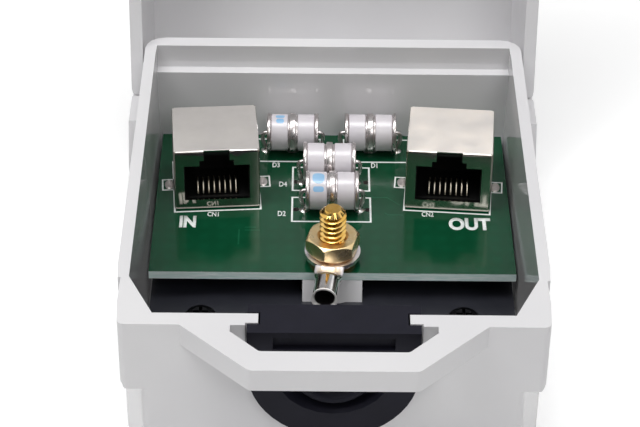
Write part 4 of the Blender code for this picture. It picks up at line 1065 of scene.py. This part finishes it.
# %% Tip, shank and head
CHAMFER = 0.95
BLANK_LOW = BOARD_TOP + 1.1
BLANK_RADIUS = CREST + 0.02
shoulder = TIP - CHAMFER
blank = round_bar("blank", BLANK_RADIUS, shoulder - BLANK_LOW, (0, 0, (shoulder + BLANK_LOW) / 2))
edit_faces(blank, facing("Z"))
narrow = (CREST - CHAMFER) / BLANK_RADIUS
pull((0, 0, CHAMFER), (narrow, narrow, 1))
leave_edit()
unite(stud, blank, "INTERSECT")
HEAD = 1.6
head_low = screw_low.z / MM
shank_top = BLANK_LOW + 0.4
shank_length = shank_top - head_low - HEAD + 0.3
unite(stud, round_bar("shank", ROOT + 0.1, shank_length, (0, 0, shank_top - shank_length / 2), steps=40))
head = round_bar("head", 3.0, HEAD, (0, 0, head_low + HEAD / 2))
soften(head, 0.15, sharper_than=60)
unite(stud, head)
smooth(stud, 28)
settle(stud, (0, STUD_Y, 0))
dress(stud, turned_brass, nodes=["ground_screw"])
report(stud)

# %% [markdown]
# ## Nut
# A hexagon nut is chamfered on a lathe, which leaves a curved edge on each flat. So the nut is a
# six-sided bar and a turned blank, and a Boolean modifier keeps what lies in both. The bore is
# cut last, with a small countersink.

# %% Nut
nut_low, nut_high = (v.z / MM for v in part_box("ground_nut"))
NUT_MIDDLE = (nut_low + nut_high) / 2
NUT_HEIGHT = nut_high - nut_low
ACROSS_FLATS = 8.73
BORE = 2.45
NUT_CORNER = ACROSS_FLATS / math.sqrt(3)
TOP_CHAMFER = 0.58
FOOT_CHAMFER = 0.8
TURNED = NUT_CORNER + 0.02
nut = round_bar("ground_nut_hexagon", NUT_CORNER, NUT_HEIGHT, (0, 0, NUT_MIDDLE), steps=6)
lathe = round_bar("lathe", TURNED, NUT_HEIGHT - TOP_CHAMFER - FOOT_CHAMFER,
                  (0, 0, NUT_MIDDLE + (FOOT_CHAMFER - TOP_CHAMFER) / 2), steps=96)
narrow = 4.3 / TURNED
for side, chamfer in ((-1, FOOT_CHAMFER), (1, TOP_CHAMFER)):
    edit_faces(lathe, facing("Z", side))
    pull((0, 0, side * chamfer), (narrow, narrow, 1))
    leave_edit()
unite(nut, lathe, "INTERSECT")
unite(nut, round_bar("bore", BORE, 6.0, (0, 0, NUT_MIDDLE), steps=64), "DIFFERENCE")
sink = start_piece(bpy.ops.mesh.primitive_cone_add, "sink", vertices=64, radius1=2.3 * MM, radius2=3.0 * MM,
                   depth=0.7 * MM, location=(0, 0, (nut_high - 0.2) * MM))
unite(nut, sink, "DIFFERENCE")
soften(nut, 0.07, segments=2, sharper_than=24)
settle(nut, (0, STUD_Y, 0), 43)
dress(nut, pale_brass, nodes=["ground_nut"])
report(nut)

# %% [markdown]
# ## Washers
# Two washers clamp the lug's ring, a wide one on the board and a smaller one under the nut. Each
# is a short bar made hollow, with its edges rounded, and the two are one piece here.

# %% Washers
SCREW_HOLE = 2.65
RING_Z = nut_low - 0.7
RING_THICK = 0.8
RING_RADIUS = 5.05
washers = []
for radius, low, high in ((4.25, BOARD_TOP + 0.02, RING_Z - RING_THICK / 2),
                          (4.05, RING_Z + RING_THICK / 2, nut_low)):
    washer = round_bar("washer", radius, high - low, (0, 0, (low + high) / 2), steps=64)
    hollow(washer, "Z", radius - SCREW_HOLE)
    soften(washer, 0.14, segments=3, sharper_than=60)
    washers.append(washer)
washer = settle(weld(washers, "ground_washers"), (0, STUD_Y, 0))
dress(washer, warm_brass, nodes=["ground_washer"])
print("ring middle above the board, in mm:", round(RING_Z - BOARD_TOP, 2))

# %% [markdown]
# ## The ring lug
# The lug is pressed from copper tube and tinned: one end is flattened and punched for the
# screw, and the other stays open for the ground wire. It starts as a short barrel. Its near
# face is pulled into a flared lip and back into a bore, and its far face is pulled towards the
# screw and scaled flatter each time, as a press does it.

# %% Lug
BARREL_Z = BOARD_TOP + 1.25
BARREL_RADIUS = 2.2
MOUTH = -13.2
BARREL_END = -8.6
lug = round_bar("ground_lug_tinned", BARREL_RADIUS, BARREL_END - MOUTH - 1.0,
                (0, (BARREL_END + MOUTH + 1.0) / 2, BARREL_Z), "Y", 48)
edit_faces(lug, facing("Y", -1))
for onward, wider in ((-0.4, 0.99), (-0.3, 1.02), (-0.2, 1.05), (-0.1, 1.02)):
    pull((0, onward, 0), (wider, 1, wider), (0, 0, BARREL_Z))
bpy.ops.mesh.inset(thickness=0.26 * MM)
pull((0, 0.12, 0), (0.96, 1, 0.96), (0, 0, BARREL_Z))
pull((0, 0.5, 0), (0.9, 1, 0.9), (0, 0, BARREL_Z))
pull((0, 3.4, 0))
leave_edit()
edit_faces(lug, lambda middle, normal: normal.y > FACING and middle.y > (BARREL_END - 0.5) * MM)
rise = (RING_Z - BARREL_Z) / 5
pressing = (
    (0.4, 0.0, 1.08, 0.96), (0.5, rise, 1.02, 0.86), (0.4, rise, 1.02, 0.74), (0.4, rise, 1.02, 0.64),
    (0.4, rise, 1.02, 0.62), (0.4, rise, 1.02, 0.75), (1.7, 0.0, 1.0, 1.0), (1.6, 0.0, 1.0, 1.0))
height = BARREL_Z
for onward, drop, wider, flatter in pressing:
    height += drop
    pull((0, onward, drop), (wider, 1, flatter), (0, 0, height))
leave_edit()


def in_dent(vertex):
    """True for a vertex on top of the neck, where the press left a dent."""
    x, y, z = vertex.co / MM
    return abs(x) < 1.2 and -7.3 < y < -5.3 and z > RING_Z + 0.1


edit_parts(lug, "VERT", in_dent)
bpy.ops.transform.translate(value=(0, 0, -0.25 * MM))
leave_edit()
print("lug size before its ring, in mm:", [round(v / MM, 2) for v in lug.dimensions])

# %% [markdown]
# ## The lug's ring
# The flattened end is united with a disc and punched. The inside of the barrel gets a dark,
# rough slot, a painted shade. The lip is matte and painted bright all round, a painted
# highlight, and the upward faces of the flattened neck get a rougher, paler painted highlight.

# %% Ring, hole and dull bore
unite(lug, round_bar("ring", RING_RADIUS, RING_THICK, (0, 0, RING_Z), steps=72))
unite(lug, round_bar("punch", SCREW_HOLE, 4.0, (0, 0, RING_Z), steps=48), "DIFFERENCE")
soften(lug, 0.09, segments=2, sharper_than=48)
dress(lug, tinned_copper, nodes=["ground_lug"])


def in_bore(middle, normal):
    """True for a face of the barrel's inside, behind its lip."""
    away = math.hypot(middle.x, middle.z - BARREL_Z * MM)
    return away < (BARREL_RADIUS - 0.1) * MM and (MOUTH + 0.5) * MM < middle.y < (BARREL_END - 0.2) * MM


# The bore's dark slot is painted shade; the lip's and the neck's bright slots are painted highlights.
paint(lug, bore_painted_shade, in_bore)
paint(lug, lip_painted_highlight, lambda middle, normal: middle.y < (MOUTH + 0.62) * MM and not in_bore(middle, normal))
paint(lug, neck_painted_highlight, lambda middle, normal: middle.y > (BARREL_END + 1.6) * MM and normal.z > 0.3)
settle(lug, (0, STUD_Y, 0), -6.5)
report(lug)

# %% [markdown]
# ## The floor
# The object lies on pale paper that glows a little where the camera or a mirror sees it, so it
# fades into the white background and yet takes the object's soft shadow.

# %% Floor
floor = start_piece(bpy.ops.mesh.primitive_plane_add, "studio_floor", size=6.0, location=(0, 0, 0))
floor_paint = finish("pale_studio_paper", {"Roughness": 0.9, "IOR": 1.3}, {"cloud": (60.0, 2.0)},
                     ("#F4F4F4", "#F8F8F8"))
tree = floor_paint.node_tree
shader = tree.nodes["Principled BSDF"]
rays = add_node(tree, "ShaderNodeLightPath")
seen = add_node(tree, "ShaderNodeMath", {"operation": "MAXIMUM"},
                links={0: rays.outputs["Is Camera Ray"], 1: rays.outputs["Is Glossy Ray"]}).outputs[0]
glow = add_node(tree, "ShaderNodeMath", {"operation": "MULTIPLY"}, {1: 0.35}, {0: seen}).outputs[0]
shader.inputs["Emission Color"].default_value = (1, 1, 1, 1)
tree.links.new(glow, shader.inputs["Emission Strength"])
floor.data.materials.append(floor_paint)

# %% [markdown]
# ## The lamps
# The photograph has soft shadows and no hard glint, so both lamps are large rectangles. The one
# above lights the rims and the tops of the jacks. The one in front is weaker and lifts the near
# wall and the guard loop.

# %% Lamps
def soft_lamp(name, place_mm, target_mm, size, power):
    lamp = bpy.data.lights.new(name, "AREA")
    lamp.shape = "RECTANGLE"
    lamp.size, lamp.size_y = metres(size)
    lamp.energy = power
    obj = new_object(name, lamp)
    place = Vector(place_mm) * MM
    obj.location = place
    obj.rotation_euler = (Vector(target_mm) * MM - place).to_track_quat("-Z", "Y").to_euler()


soft_lamp("soft_box_above", (-110, -60, 690), (0, 0, 20), (220, 800), 4.1)
soft_lamp("soft_box_front", (180, -460, 500), (0, 0, 20), (260, 320), 0.9)

# %% [markdown]
# ## The world
# The world is white where the camera sees it and dim where it lights the object. A ray that a
# mirror sends back past the camera finds the dim end of the room, and one that goes to the far
# side finds white.

# %% World
world = bpy.data.worlds.new("studio")
bpy.context.scene.world = world
world.use_nodes = True
tree = world.node_tree
rays = add_node(tree, "ShaderNodeLightPath")
direction = add_node(tree, "ShaderNodeTexCoord").outputs["Generated"]
towards = add_node(tree, "ShaderNodeSeparateXYZ", links={"Vector": direction}).outputs["Y"]
mirrored = add_node(tree, "ShaderNodeMapRange",
                    values={"From Min": -0.75, "From Max": -0.1, "To Min": 0.06},
                    links={"Value": towards}).outputs["Result"]
mirrored = add_node(tree, "ShaderNodeMath", {"operation": "MULTIPLY"},
                    links={0: rays.outputs["Is Glossy Ray"], 1: mirrored}).outputs[0]
for ray in ("Is Camera Ray", "Is Transmission Ray"):
    mirrored = add_node(tree, "ShaderNodeMath", {"operation": "MAXIMUM"},
                        links={0: mirrored, 1: rays.outputs[ray]}).outputs[0]
level = add_node(tree, "ShaderNodeMath", {"operation": "MAXIMUM"}, {1: 0.17}, {0: mirrored}).outputs[0]
sky = tree.nodes["Background"]
sky.inputs["Color"].default_value = (1, 1, 1, 1)
tree.links.new(level, sky.inputs["Strength"])
print("lamps and world set")

# %% [markdown]
# ## The view transform
# Colours are shown with the Standard view transform.

# %% Finish
bpy.context.scene.view_settings.view_transform = "Standard"
